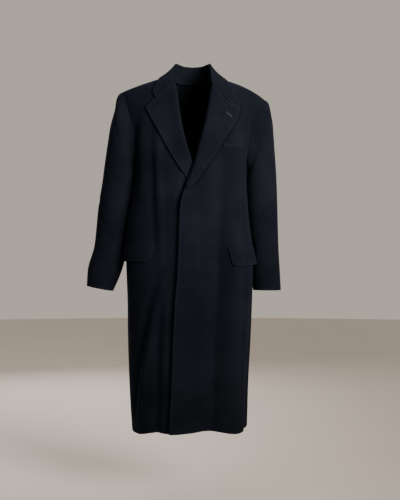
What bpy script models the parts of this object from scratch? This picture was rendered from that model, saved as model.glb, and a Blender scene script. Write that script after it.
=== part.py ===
"""Long single-breasted wool overcoat in its worn shape, hollow, with notched lapels and a fly front.

Metres, +Z up, X towards the wearer's left, Y towards the back. The origin is the middle of the
neck at the height where the shoulders begin. A "level" is a distance below the origin, and an
"angle" is measured round the body from the middle of the front, positive to the wearer's left.
"""
from collections import namedtuple
from math import radians, tau

import bmesh
import bpy
import numpy as np

# Cloth
SHARP_ANGLE = radians(50)
WALL = 0.0020           # coating cloth, with its interlining
SEAM = 0.0003           # space left between two pieces at a seam
PLY = WALL + 0.0006     # from the middle of one layer to the middle of the next

# Body
ROUNDNESS = 2.4         # power of the ring's curve, 2 is an ellipse
UNDERARM = 0.315        # level where the armhole is lowest
HEM = 1.165
BODY_RADIUS = 0.17      # turns an angle into a rough distance round the body
SHOULDER_ROUND = 0.11   # height over which the shoulder turns from level to upright
NECK_HALF = 0.080       # from the middle of the neck to the shoulder seam's inner end
NECK_SCOOP = 0.030      # how far the back neckline dips below the shoulder line
NECK_SCOOP_END = 0.12   # level where that dip has died out
NECK_MIDDLE = 0.004     # the neck stands this far to the wearer's left
SHOULDER_SLOPE = {+1: (0.27, 6.9, 0.0), -1: (0.30, 2.0, 0.004)}  # straight, cubic, raised
ARMHOLE_FRONT = 0.54    # share of the chest's depth that the armhole reaches forward
ARMHOLE_BACK = 0.50
ARMHOLE_TOP = 0.35
ARMHOLE_WIDEST = 0.20   # level where it reaches furthest
ARMHOLE_PULL = (2.0, 8.0)   # range of the power that draws a panel's columns in to the armhole
NAP_COLOUR = (0.0085, 0.0100, 0.0150, 1.0)
NAP_ROUGHNESS = 0.85

# Counts of faces, and how rows close up towards the underarm and the hip
FRONT_COLUMNS = 20
BACK_COLUMNS = 15
SHOULDER_ROWS = 6
CHEST_ROWS = 8
SKIRT_ROWS = 14
CHEST_EASE = 0.7
SKIRT_EASE = 0.45
SKIRT_EASE_POWER = 1.6
SLEEVE_ROWS = 23
TOP_SLEEVE_COLUMNS = 14
UNDER_SLEEVE_COLUMNS = 6

Section = namedtuple("Section", "level right left front back")
SECTIONS = (
    Section(0.000, 0.2360, 0.2500, 0.085, 0.100),
    Section(0.080, 0.2260, 0.2350, 0.105, 0.120),
    Section(0.135, 0.2180, 0.2225, 0.124, 0.131),
    Section(0.185, 0.2110, 0.2135, 0.138, 0.137),
    Section(0.240, 0.2030, 0.2020, 0.149, 0.140),
    Section(0.315, 0.1880, 0.1860, 0.155, 0.138),
    Section(0.380, 0.1950, 0.1850, 0.156, 0.132),
    Section(0.430, 0.2030, 0.1870, 0.154, 0.128),
    Section(0.490, 0.2125, 0.1930, 0.152, 0.129),
    Section(0.545, 0.2175, 0.2000, 0.153, 0.135),
    Section(0.610, 0.2170, 0.2035, 0.155, 0.143),
    Section(0.740, 0.2125, 0.2010, 0.158, 0.152),
    Section(0.860, 0.2110, 0.1965, 0.160, 0.160),
    Section(0.990, 0.2070, 0.1895, 0.162, 0.167),
    Section(1.090, 0.2020, 0.1855, 0.165, 0.172),
    Section(1.170, 0.1965, 0.1825, 0.168, 0.176),
)

# Where each front ends towards the middle: the roll line down to the break, then the edge
Edge = namedtuple("Edge", "level under over")
EDGES = (
    Edge(0.000, -0.0760, 0.0840),
    Edge(0.018, -0.0640, 0.0750),
    Edge(0.041, -0.0545, 0.0674),
    Edge(0.100, -0.0440, 0.0572),
    Edge(0.170, -0.0317, 0.0436),
    Edge(0.240, -0.0143, 0.0254),
    Edge(0.302, 0.0056, 0.0084),
    Edge(0.345, 0.0216, -0.0078),
    Edge(0.381, 0.0340, -0.0214),
    Edge(0.415, 0.0400, -0.0305),
    Edge(0.480, 0.0420, -0.0358),
    Edge(0.574, 0.0430, -0.0388),
    Edge(0.654, 0.0435, -0.0420),
    Edge(0.733, 0.0440, -0.0484),
    Edge(0.860, 0.0450, -0.0547),
    Edge(1.000, 0.0455, -0.0585),
    Edge(1.170, 0.0460, -0.0650),
)
TUCK_RAMP = 0.035       # width over which the under front sinks below the over front
TUCK_TOP = 0.20         # level where it starts to sink, and the height that takes
TUCK_TOP_RAMP = 0.06
TUCK_PLIES = 1.15       # how many layers it sinks, and how many more where the lapels cross
TUCK_CROSSING_PLIES = 1.9
SHOULDER_SEAM_HALF = 0.00018
SHOULDER_SEAM_REACH = 0.003
LAPEL_CROSSING = (0.350, 0.078)   # level and reach of the stretch where the lapels cross

# Soft ridges (depth above zero) and troughs (below zero), each from its top to its bottom
Fold = namedtuple("Fold", "top_angle top_level bottom_angle bottom_level width depth")
FOLDS = (
    # wearer's right front
    Fold(-65, 0.090, -70, 0.420, 0.013, -0.0085),
    Fold(-56, 0.120, -59, 0.430, 0.013, 0.0040),
    Fold(-48, 0.140, -40, 0.610, 0.013, -0.0050),
    Fold(-40, 0.140, -33, 0.640, 0.013, 0.0060),
    Fold(-38, 0.620, -68, 1.130, 0.013, -0.0095),
    Fold(-29, 0.620, -60, 1.130, 0.013, 0.0090),
    Fold(-36, 0.620, -37, 1.165, 0.012, -0.0050),
    Fold(-28, 0.620, -29, 1.165, 0.012, 0.0045),
    # wearer's left front
    Fold(63, 0.100, 66, 0.290, 0.011, 0.0050),
    Fold(71, 0.110, 72, 0.400, 0.011, -0.0060),
    Fold(53, 0.120, 43, 1.150, 0.022, 0.0160),
    Fold(37, 0.150, 24, 1.165, 0.022, -0.0170),
    Fold(72, 0.680, 76, 1.165, 0.016, -0.0050),
    # sides and back
    Fold(-98, 0.420, -104, 1.050, 0.024, -0.0060),
    Fold(96, 0.640, 101, 1.100, 0.024, -0.0060),
    Fold(-128, 0.180, -122, 0.520, 0.016, -0.0060),
    Fold(128, 0.180, 122, 0.510, 0.016, -0.0060),
    Fold(-152, 0.300, -156, 0.640, 0.022, -0.0040),
    Fold(152, 0.310, 156, 0.650, 0.022, -0.0040),
    Fold(-140, 0.640, -134, 1.160, 0.030, -0.0080),
    Fold(140, 0.660, 134, 1.160, 0.030, -0.0080),
    Fold(-165, 0.760, -160, 1.160, 0.030, 0.0060),
    Fold(165, 0.760, 160, 1.160, 0.030, 0.0060),
)

# Flutes of the hem: waves that grow from the hips down
Flute = namedtuple("Flute", "angle spread depth")
FLUTES = (
    Flute(-66, 12, -0.004),
    Flute(-22, 9, 0.006),
    Flute(14, 13, -0.010),
    Flute(46, 11, 0.009),
    Flute(74, 10, -0.004),
    Flute(112, 15, 0.008),
    Flute(-112, 15, 0.008),
    Flute(-146, 13, -0.006),
    Flute(146, 13, -0.006),
)
FLUTE_TOP = 0.70

# How far the hem hangs below its level, round the body
HemPoint = namedtuple("HemPoint", "angle drop")
HEM_LINE = (
    HemPoint(-180, -0.004),
    HemPoint(-120, -0.004),
    HemPoint(-90, 0.003),
    HemPoint(-60, 0.006),
    HemPoint(-33, -0.008),
    HemPoint(-22, -0.005),
    HemPoint(0, -0.008),
    HemPoint(14, -0.013),
    HemPoint(28, -0.010),
    HemPoint(46, 0.000),
    HemPoint(62, 0.001),
    HemPoint(90, -0.005),
    HemPoint(120, -0.003),
    HemPoint(180, -0.004),
)
HEM_LINE_TOP = 0.90     # level below which the hem line shows in the cloth

# Sleeves: outermost and innermost point of each ring seen from the front, and its depth
Ring = namedtuple("Ring", "reach outer_x outer_z inner_x inner_z front back middle")
SLEEVE_LEFT = (
    Ring(0.000, 0.2415, -0.073, 0.1885, -0.3160, 0.072, 0.066, 0.000),
    Ring(0.020, 0.2540, -0.084, 0.1905, -0.3185, 0.073, 0.068, 0.000),
    Ring(0.045, 0.2610, -0.106, 0.1925, -0.3220, 0.075, 0.070, 0.000),
    Ring(0.080, 0.2680, -0.140, 0.1935, -0.3270, 0.077, 0.073, 0.000),
    Ring(0.125, 0.2720, -0.185, 0.1905, -0.3340, 0.078, 0.075, 0.001),
    Ring(0.180, 0.2760, -0.240, 0.1815, -0.3450, 0.077, 0.076, 0.003),
    Ring(0.240, 0.2805, -0.300, 0.1750, -0.3620, 0.075, 0.075, 0.006),
    Ring(0.300, 0.2840, -0.360, 0.1755, -0.3920, 0.072, 0.073, 0.011),
    Ring(0.370, 0.2868, -0.430, 0.1780, -0.4400, 0.069, 0.070, 0.018),
    Ring(0.440, 0.2888, -0.500, 0.1860, -0.5030, 0.066, 0.066, 0.024),
    Ring(0.510, 0.2912, -0.570, 0.1940, -0.5700, 0.062, 0.062, 0.026),
    Ring(0.580, 0.2950, -0.640, 0.1990, -0.6390, 0.058, 0.058, 0.022),
    Ring(0.650, 0.2980, -0.708, 0.2065, -0.7075, 0.055, 0.055, 0.014),
)
SLEEVE_RIGHT = (
    Ring(0.000, 0.2280, -0.050, 0.1905, -0.3160, 0.072, 0.066, 0.000),
    Ring(0.020, 0.2405, -0.058, 0.1930, -0.3180, 0.073, 0.068, 0.000),
    Ring(0.045, 0.2495, -0.075, 0.1955, -0.3205, 0.075, 0.070, 0.000),
    Ring(0.080, 0.2565, -0.112, 0.1980, -0.3245, 0.077, 0.073, 0.000),
    Ring(0.125, 0.2690, -0.158, 0.1970, -0.3310, 0.078, 0.075, 0.001),
    Ring(0.180, 0.2790, -0.218, 0.1900, -0.3420, 0.077, 0.076, 0.003),
    Ring(0.240, 0.2895, -0.288, 0.1845, -0.3600, 0.075, 0.075, 0.006),
    Ring(0.300, 0.2985, -0.354, 0.1880, -0.3900, 0.072, 0.073, 0.009),
    Ring(0.370, 0.3110, -0.424, 0.1955, -0.4400, 0.069, 0.070, 0.014),
    Ring(0.440, 0.3215, -0.496, 0.2060, -0.5050, 0.066, 0.066, 0.018),
    Ring(0.510, 0.3315, -0.566, 0.2185, -0.5770, 0.062, 0.062, 0.018),
    Ring(0.580, 0.3450, -0.630, 0.2370, -0.6480, 0.058, 0.058, 0.012),
    Ring(0.650, 0.3490, -0.693, 0.2630, -0.7100, 0.055, 0.055, 0.002),
)
SLEEVES = {+1: SLEEVE_LEFT, -1: SLEEVE_RIGHT}
SLEEVE_ROUNDNESS = 2.2
SLEEVE_RADIUS = 0.06    # turns an angle into a rough distance round a sleeve
SLEEVE_END = 0.650
SLEEVE_EASE = 0.55       # how rows close up towards the sleeve head
SLEEVE_EASE_POWER = 1.9
ARMHOLE_MEMORY = 0.09   # reach over which a sleeve ring still keeps the armhole's shape
ARMHOLE_GAP = 0.0012    # the sleeve's edge stands this far off the panels at the shoulder
ARMHOLE_LAYER_TOP = 0.10    # level below which it stands outside the panels as well
BODY_CLEARANCE = 0.0028
CLEARANCE_TOP = 0.306   # level where a sleeve starts to be kept clear of the body
CLEARANCE_RAMP = 0.018
CLEARANCE_SOFT = 0.0020
FLAP_PASS_REACH = 0.05  # height over which a sleeve makes way for the flap behind it
FLAP_PASS_BACK = 0.01   # how far back, and over what depth that dies out
FLAP_PASS_RAMP = 0.03
FRONT_SLEEVE_SEAM = radians(128)
BACK_SLEEVE_SEAM = radians(238)

# Creases of a sleeve: around is an angle from its outer side, positive to the front
Crease = namedtuple("Crease", "around reach slant length width depth")
CREASES = {
    +1: (
        Crease(70, 0.36, 0.35, 0.060, 0.010, -0.0035),
        Crease(100, 0.42, 0.25, 0.050, 0.010, -0.0040),
        Crease(-70, 0.38, -0.30, 0.060, 0.010, -0.0040),
        Crease(40, 0.10, 0.90, 0.060, 0.012, -0.0030),
    ),
    -1: (
        Crease(35, 0.37, 0.40, 0.060, 0.009, -0.0045),
        Crease(60, 0.42, 0.30, 0.060, 0.010, -0.0040),
        Crease(90, 0.47, 0.20, 0.050, 0.010, -0.0045),
        Crease(-70, 0.38, -0.30, 0.060, 0.010, -0.0040),
        Crease(45, 0.10, 0.90, 0.060, 0.012, -0.0035),
    ),
}

# Collar: the fold at its top, and the plan of its outer edge, which lies on the shoulders.
# Turn 0 is the middle of the back and 1 a front end.
CollarRow = namedtuple("CollarRow", "turn roll_x roll_y roll_z edge_x edge_y puff")
COLLAR = (
    CollarRow(0.00, 0.000, 0.071, 0.048, 0.000, 0.0870, 0.007),
    CollarRow(0.20, 0.029, 0.066, 0.050, 0.044, 0.0790, 0.006),
    CollarRow(0.40, 0.050, 0.044, 0.054, 0.081, 0.0560, 0.002),
    CollarRow(0.55, 0.058, 0.014, 0.050, 0.101, 0.0200, -0.001),
    CollarRow(0.70, 0.060, -0.016, 0.027, 0.112, -0.0180, 0.000),
    CollarRow(0.85, 0.060, -0.044, -0.008, 0.127, -0.0480, 0.003),
    CollarRow(1.00, 0.060, -0.060, -0.040, 0.142, -0.0700, 0.005),
)
COLLAR_LIFT = 0.0050
COLLAR_SETTLE = 0.55        # turn from which its outer edge makes for its corner
COLLAR_END_BLEND = 0.30     # share of each half of the collar that settles into its cut end
COLLAR_BEND = 0.45          # where between fold and edge the leaf bends most
COLLAR_END_ROLL = 0.003
COLLAR_COLUMNS = 40
COLLAR_ROWS = 5
STAND_ROWS = 2
STAND_END = 0.90        # the stand stops a little before the collar's ends
STAND_BELOW_FOLD = 0.0012
STAND_FOOT_IN = 0.0030  # how far inside the neckline it stands
NECK_TURN = 0.60        # where the neckline passes the shoulder seam
FRONT_NECK_DEPTH = 0.048
NOTCH_SHARE = 0.76      # how far along the collar's end the notch comes

# Lapels and collar ends seen from the front, as x and height
Lapel = namedtuple("Lapel", "gorge notch collar_corner corner")
LAPELS = {
    +1: Lapel((0.0668, -0.0440), (0.1281, -0.1005), (0.1466, -0.0822), (0.1580, -0.1160)),
    -1: Lapel((-0.0533, -0.0350), (-0.1144, -0.0805), (-0.1264, -0.0570), (-0.1460, -0.1123)),
}
LAPEL_EDGE = {
    +1: ((0.0000, -0.0160, -0.3850), (0.16, 0.0080, -0.3630), (0.34, 0.0400, -0.3200),
         (0.56, 0.0790, -0.2600), (0.78, 0.1180, -0.1980), (0.92, 0.1440, -0.1525),
         (1.00, 0.1580, -0.1160)),
    -1: ((0.0000, 0.0290, -0.3850), (0.16, 0.0010, -0.3610), (0.34, -0.0270, -0.3240),
         (0.56, -0.0640, -0.2650), (0.78, -0.0960, -0.2060), (0.92, -0.1210, -0.1600),
         (1.00, -0.1460, -0.1123)),
}
LAPEL_COLUMNS = 8
LAPEL_ROWS = 14
LAPEL_ROLL = 0.0042     # how far the turned cloth stands off near the roll line
LAPEL_ROLL_MIDDLE = 0.004   # and how far from it, over what width
LAPEL_ROLL_WIDTH = 0.012
LAPEL_FULL_WIDTH = 0.03     # a lapel narrower than this rolls less
LAPEL_TURN = 0.0025         # width of the turn itself, which passes the front's edge by this much
LAPEL_PASS = 0.0022
LAPEL_LIFT = 0.0004         # space under it at the roll line, and at the free edge
LAPEL_EDGE_LIFT = 0.0018
LAPEL_NOTCH_SHARE = 0.66    # how far across its top edge the notch comes
LAPEL_START = 0.377         # level of its lowest point

# Pocket flaps as angles and levels: inner and outer end, at the seam and at the free edge
Flap = namedtuple("Flap", "inner_seam inner_free outer_seam outer_free kick")
FLAPS = {
    +1: Flap((40.5, 0.5605), (43.5, 0.6270), (80.0, 0.5580), (81.0, 0.6215), 0.0065),
    -1: Flap((-40.8, 0.5470), (-43.0, 0.6110), (-79.0, 0.5440), (-80.0, 0.6120), 0.0045),
}
FLAP_COLUMNS = 14
FLAP_ROWS = 4
FLAP_LIFT = 0.0008       # space under a flap at its seam, and at its free edge
FLAP_EDGE_LIFT = 0.0021
FLAP_CORNER = 0.0060     # how far the free edge rises at its rounded ends

# Breast welt: x and height of its corners
WELT_INNER = (0.1050, -0.2330)
WELT_OUTER = (0.1660, -0.2370)
WELT_HEIGHT = 0.0150
WELT_LIFT = 0.0002
WELT_COLUMNS = 5
WELT_ROWS = 1


def smooth_step(share):
    """Rise from 0 to 1 with level ends."""
    share = np.clip(share, 0.0, 1.0)
    return share * share * (3.0 - 2.0 * share)


def through(places, values, at):
    """Smooth curve through a table's values, read at the given places."""
    places = np.asarray(places, float)
    values = np.asarray(values, float)
    slopes = np.gradient(values, places)
    at = np.clip(at, places[0], places[-1])
    index = np.clip(np.searchsorted(places, at, side="right") - 1, 0, len(places) - 2)
    span = places[index + 1] - places[index]
    t = (at - places[index]) / span
    start, end = values[index], values[index + 1]
    rise_start, rise_end = slopes[index] * span, slopes[index + 1] * span
    bend = 2.0 * (start - end) + rise_start + rise_end
    return start + t * (rise_start + t * (3.0 * (end - start) - 2.0 * rise_start - rise_end + t * bend))


def column(table, name, at):
    """One named column of a table, read smoothly at the table's first column."""
    return through([row[0] for row in table], [getattr(row, name) for row in table], at)


def shoulder_height(x):
    """Height of the shoulder line over x."""
    height = np.zeros_like(x)
    for side, (straight, cubic, raised) in SHOULDER_SLOPE.items():
        out = np.abs(x) - NECK_HALF
        fall = straight * out + cubic * out ** 3
        here = raised * np.clip(np.abs(x) / NECK_HALF, 0.0, 1.0) - fall
        height = np.where(x * side >= 0.0, here, height)
    return height


def arch(drop):
    """Share of the full depth that the body has at a drop below the shoulder line."""
    left = 1.0 - np.clip(drop / SHOULDER_ROUND, 0.0, 1.0)
    return np.sqrt(1.0 - left * left)


def half_width(x_sign, level):
    """Half the body's width on the side x lies on."""
    return np.where(x_sign >= 0.0, column(SECTIONS, "left", level), column(SECTIONS, "right", level))


def body_surface(angle, level):
    """Points of the middle of the body's cloth, without folds."""
    angle, level = np.broadcast_arrays(np.asarray(angle, float), np.asarray(level, float))
    across, along = np.sin(angle), np.cos(angle)
    back = along < 0.0
    half = half_width(across, level)
    depth = np.where(back, column(SECTIONS, "back", level), column(SECTIONS, "front", level))
    radius = (np.abs(across) / half) ** ROUNDNESS + (np.abs(along) / depth) ** ROUNDNESS
    radius = radius ** (-1.0 / ROUNDNESS)
    x = radius * across
    share = np.clip(level / UNDERARM, 0.0, 1.0)
    drop = level + shoulder_height(x) * share * (2.0 - share)
    inside_neck = np.clip(1.0 - ((x - NECK_MIDDLE) / NECK_HALF) ** 2, 0.0, 1.0)
    scoop = NECK_SCOOP * inside_neck * (1.0 - smooth_step(level / NECK_SCOOP_END))
    drop = drop + np.where(back, scoop, 0.0)
    z = np.where(level < UNDERARM, shoulder_height(x) - drop, -level)
    y = -radius * along * np.where(level < UNDERARM, arch(drop), 1.0)
    turned = np.degrees((angle + np.pi) % tau - np.pi)
    z = z - column(HEM_LINE, "drop", turned) * smooth_step((level - HEM_LINE_TOP) / (HEM - HEM_LINE_TOP))
    return np.stack([x, y, z], axis=-1)


def folds(angle, level):
    """How far the cloth stands out from the plain body."""
    angle, level = np.broadcast_arrays(np.degrees(angle), np.asarray(level, float))
    total = np.zeros(angle.shape)
    for fold in FOLDS:
        share = (level - fold.top_level) / (fold.bottom_level - fold.top_level)
        middle = fold.top_angle + (fold.bottom_angle - fold.top_angle) * share
        aside = radians(1.0) * (angle - middle) * BODY_RADIUS / fold.width
        length = np.sin(np.clip(share, 0.0, 1.0) * np.pi)
        if fold.bottom_level > HEM - 0.01:
            length = np.where(share > 0.5, 1.0, length)
        total += fold.depth * length * np.exp(-aside * aside)
    growth = smooth_step((level - FLUTE_TOP) / (HEM - FLUTE_TOP))
    for flute in FLUTES:
        aside = (angle - flute.angle) / flute.spread
        total += flute.depth * growth * np.exp(-aside * aside)
    return total


def body_wall(angle, level, lift=0.0):
    """Points of the draped body, moved out from it by lift."""
    angle, level = np.broadcast_arrays(np.asarray(angle, float), np.asarray(level, float))
    step_angle, step_level = 0.004, 0.0008
    level_low = np.maximum(level - step_level, 0.0)
    round_body = body_surface(angle + step_angle, level) - body_surface(angle - step_angle, level)
    down_body = body_surface(angle, level + step_level) - body_surface(angle, level_low)
    normal = np.cross(down_body, round_body)
    normal /= np.linalg.norm(normal, axis=-1, keepdims=True)
    out = (folds(angle, level) + lift)[..., None]
    return body_surface(angle, level) + normal * out


def angle_at(x, level, front=True):
    """Angle round the body where it has a given x."""
    half = half_width(x, level)
    depth = column(SECTIONS, "front" if front else "back", level)
    share = np.clip(np.abs(x) / half, 0.0, 1.0)
    along = depth * (1.0 - share ** ROUNDNESS) ** (1.0 / ROUNDNESS)
    return np.arctan2(x, along if front else -along)


def level_below(x, drop):
    """Level of the point at x that is a given drop below the shoulder line."""
    line = shoulder_height(x)
    linear = UNDERARM + 2.0 * line
    root = np.sqrt(np.maximum(linear * linear - 4.0 * line * drop, 0.0))
    above = UNDERARM * 2.0 * drop / (linear + root)
    return np.where(line - drop > -UNDERARM, above, drop - line)


def level_at(x, z):
    """Level of the front's point that is seen at x and height z."""
    return level_below(x, shoulder_height(x) - z)


def armhole_angle(side, level, front=True):
    """Angle of the armhole's seam, from the shoulder's tip down to the underarm."""
    reach = ARMHOLE_FRONT if front else ARMHOLE_BACK
    upper = (ARMHOLE_WIDEST - level) / ARMHOLE_WIDEST
    lower = np.clip((level - ARMHOLE_WIDEST) / (UNDERARM - ARMHOLE_WIDEST), 0.0, 1.0)
    share = np.where(level < ARMHOLE_WIDEST, reach - (reach - ARMHOLE_TOP) * upper ** 2,
                     reach * np.sqrt(1.0 - lower ** 2))
    half = half_width(side, level)
    depth = column(SECTIONS, "front" if front else "back", level)
    x = half * (1.0 - share ** ROUNDNESS) ** (1.0 / ROUNDNESS)
    y = share * depth
    return side * np.arctan2(x, y if front else -y)


def spread(side, inner, outer, across):
    """Angles of a panel's columns: even round the body, and drawn in only near the armhole."""
    flank = side * tau / 4.0
    drawn_in = np.maximum(np.abs(flank - outer), 0.001)
    power = np.clip(0.85 * np.abs(flank - inner) / drawn_in, *ARMHOLE_PULL)
    return inner + (flank - inner) * across + (outer - flank) * np.maximum(across, 0.0) ** power


def levels(down):
    """Levels of a body panel's rows, closer together on the shoulder and at the underarm."""
    total = SHOULDER_ROWS + CHEST_ROWS + SKIRT_ROWS
    row = down * total
    shoulder = SHOULDER_ROUND * (1.0 - np.cos(np.clip(row / SHOULDER_ROWS, 0.0, 1.0) * np.pi / 2.0))
    chest_share = np.clip((row - SHOULDER_ROWS) / CHEST_ROWS, 0.0, 1.0)
    eased = CHEST_EASE * np.sin(chest_share * np.pi / 2.0) + (1.0 - CHEST_EASE) * chest_share
    chest = (UNDERARM - SHOULDER_ROUND) * eased
    skirt_share = np.clip((row - SHOULDER_ROWS - CHEST_ROWS) / SKIRT_ROWS, 0.0, 1.0)
    eased = (1.0 - SKIRT_EASE) * skirt_share + SKIRT_EASE * skirt_share ** SKIRT_EASE_POWER
    skirt = (HEM - UNDERARM) * eased
    return shoulder + chest + skirt


def lapels_cross(level):
    """1 where the two lapels lie over each other."""
    middle, reach = LAPEL_CROSSING
    return np.exp(-(((level - middle) / reach) ** 4))


def tuck(x, level):
    """How far the under front sinks below the plain body."""
    edge = column(EDGES, "over", level)
    covered = smooth_step((x - edge + TUCK_RAMP) / TUCK_RAMP)
    below = smooth_step((level - TUCK_TOP) / TUCK_TOP_RAMP)
    return -covered * PLY * (TUCK_PLIES * below + TUCK_CROSSING_PLIES * lapels_cross(level))


def shoulder_seam(points, level, facing):
    """Leave the seam's space on top of the shoulder."""
    points[..., 1] += facing * SHOULDER_SEAM_HALF * np.exp(-level / SHOULDER_SEAM_REACH)
    return points


def front_panel(side):
    """Front from its roll line and edge to the armhole and side seam."""
    def place(across, down):
        level = levels(down)
        name = "over" if side > 0 else "under"
        inner_x = column(EDGES, name, level)
        inner = angle_at(inner_x, level)
        outer = np.where(level < UNDERARM, armhole_angle(side, np.minimum(level, UNDERARM)),
                         side * tau / 4.0)
        outer = outer - side * SEAM / 2.0 / half_width(side, level)
        angle = spread(side, inner, outer, across)
        lift = np.zeros_like(angle)
        if side < 0:
            lift = tuck(body_surface(angle, level)[..., 0], level)
        return shoulder_seam(body_wall(angle, level, lift), level, -1.0)
    return place


def back_panel(side):
    """Back from the centre seam to the armhole and side seam."""
    def place(across, down):
        level = levels(down)
        outer = np.where(level < UNDERARM, armhole_angle(side, np.minimum(level, UNDERARM), False),
                         side * tau / 4.0)
        outer = outer + side * SEAM / 2.0 / half_width(side, level)
        inner = side * (tau / 2.0 - SEAM / 2.0 / column(SECTIONS, "back", level))
        angle = spread(side, inner, outer, across)
        return shoulder_seam(body_wall(angle, level), level, +1.0)
    return place


def sleeve_ring(side, around, reach):
    """Point of a plain sleeve ring, around from its outer side and positive to the front."""
    table = SLEEVES[side]
    outer_x, outer_z = column(table, "outer_x", reach), column(table, "outer_z", reach)
    inner_x, inner_z = column(table, "inner_x", reach), column(table, "inner_z", reach)
    cosine, sine = np.cos(around), np.sin(around)
    power = 2.0 / SLEEVE_ROUNDNESS
    outward = np.sign(cosine) * np.abs(cosine) ** power
    forward = np.sign(sine) * np.abs(sine) ** power
    depth = np.where(sine >= 0.0, column(table, "front", reach), column(table, "back", reach))
    x = (outer_x + inner_x) / 2.0 + (outer_x - inner_x) / 2.0 * outward
    z = (outer_z + inner_z) / 2.0 + (outer_z - inner_z) / 2.0 * outward
    y = column(table, "middle", reach) - depth * forward
    return np.stack([side * x, y, z], axis=-1)


def armhole_ring(side, around):
    """The sleeve's own edge along the armhole."""
    level = UNDERARM * (1.0 - np.cos(around)) / 2.0
    front = np.sin(around) >= 0.0
    angle = np.where(front, armhole_angle(side, level), armhole_angle(side, level, False))
    below = smooth_step((level - ARMHOLE_LAYER_TOP) / (UNDERARM - ARMHOLE_LAYER_TOP))
    edge = body_wall(angle, level, PLY * below)
    edge[..., 0] += side * ARMHOLE_GAP * (1.0 + below / 3.0)
    return edge


def creases(side, around, reach):
    """How far a sleeve's cloth is drawn in at its creases."""
    total = np.zeros(np.broadcast(around, reach).shape)
    turned = np.degrees((around + np.pi) % tau - np.pi)
    for crease in CREASES[side]:
        aside = radians(1.0) * (turned - crease.around) * SLEEVE_RADIUS
        middle = crease.reach + crease.slant * aside
        far = np.exp(-((aside / crease.length) ** 2) * 2.0)
        total += crease.depth * far * np.exp(-(((reach - middle) / crease.width) ** 2))
    return total


def clear_of_body(points, side):
    """Move a sleeve's points outwards to where they just clear the body."""
    x, y, z = points[..., 0], points[..., 1], points[..., 2]
    level = -z
    depth = np.where(y > 0.0, column(SECTIONS, "back", level), column(SECTIONS, "front", level))
    share = np.clip(np.abs(y) / depth, 0.0, 1.0)
    body_x = half_width(side, level) * (1.0 - share ** ROUNDNESS) ** (1.0 / ROUNDNESS)
    angle = np.arctan2(side * body_x, -y)
    reach = body_x + folds(angle, level) + BODY_CLEARANCE
    flap = FLAPS[side]
    flap_level = (flap.outer_seam[1] + flap.outer_free[1]) / 2.0
    near_flap = np.exp(-(((level - flap_level) / FLAP_PASS_REACH) ** 4))
    near_flap = near_flap * smooth_step((FLAP_PASS_BACK - y) / FLAP_PASS_RAMP)
    reach = reach + near_flap * (PLY + flap.kick)
    gap = side * x - reach
    pushed = reach + (gap + np.sqrt(gap * gap + CLEARANCE_SOFT ** 2)) / 2.0
    amount = smooth_step((level - CLEARANCE_TOP) / CLEARANCE_RAMP)
    moved = points.copy()
    moved[..., 0] = side * (side * x + (pushed - side * x) * amount)
    return moved


def sleeve_wall(side, around, reach):
    """Points of the middle of a sleeve's cloth."""
    around, reach = np.broadcast_arrays(np.asarray(around, float), np.asarray(reach, float))

    def plain(turn, far):
        memory = (1.0 - smooth_step(far / ARMHOLE_MEMORY))[..., None]
        start = armhole_ring(side, turn) - sleeve_ring(side, turn, np.zeros_like(far))
        return sleeve_ring(side, turn, far) + start * memory
    small_turn, small_reach = 0.01, 0.001
    turned = plain(around + small_turn, reach) - plain(around - small_turn, reach)
    further = plain(around, reach + small_reach) - plain(around, np.maximum(reach - small_reach, 0.0))
    normal = side * np.cross(turned, further)
    normal /= np.maximum(np.linalg.norm(normal, axis=-1, keepdims=True), 1e-9)
    settled = plain(around, reach) + normal * creases(side, around, reach)[..., None]
    return clear_of_body(settled, side)


def sleeve_reaches(down):
    """Reach of a sleeve's rows, closer together at the sleeve head."""
    down = np.maximum(down, 0.0)
    return SLEEVE_END * ((1.0 - SLEEVE_EASE) * down + SLEEVE_EASE * down ** SLEEVE_EASE_POWER)


def sleeve_piece(side, start, end):
    """Sleeve cloth between two of its long seams."""
    def place(across, down):
        gap = SEAM / SLEEVE_RADIUS
        around = start + gap / 2.0 + (end - start - gap) * across
        return sleeve_wall(side, around, sleeve_reaches(down))
    return place


def on_front(x, z, lift):
    """Point on the front that is seen at x and height z, moved out by lift."""
    level = level_at(x, z)
    return body_wall(angle_at(x, level), level, lift)


def on_shoulders(x, y, lift):
    """Point of the shoulders over x and y, moved out by lift."""
    drop = np.zeros_like(x)
    for _ in range(4):
        level = level_below(x, drop)
        side_share = np.clip(np.abs(x) / half_width(x, level), 0.0, 1.0)
        depth = np.where(y < 0.0, column(SECTIONS, "front", level), column(SECTIONS, "back", level))
        depth = depth * (1.0 - side_share ** ROUNDNESS) ** (1.0 / ROUNDNESS)
        share = np.clip(np.abs(y) / depth, 0.0, 0.98)
        drop = SHOULDER_ROUND * (1.0 - np.sqrt(1.0 - share * share))
    upright = 1.0 - drop / SHOULDER_ROUND
    outward = np.sign(y) * np.sqrt(1.0 - upright * upright)
    z = shoulder_height(x) - drop + upright * lift
    return np.stack([x, y + outward * lift, z], axis=-1)


def collar_roll(turn):
    """Line along the collar's fold."""
    side = np.where(turn >= 0.0, 1.0, -1.0)
    at = np.abs(turn)
    x = NECK_MIDDLE + side * column(COLLAR, "roll_x", at)
    return np.stack([x, column(COLLAR, "roll_y", at), column(COLLAR, "roll_z", at)], axis=-1)


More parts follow.
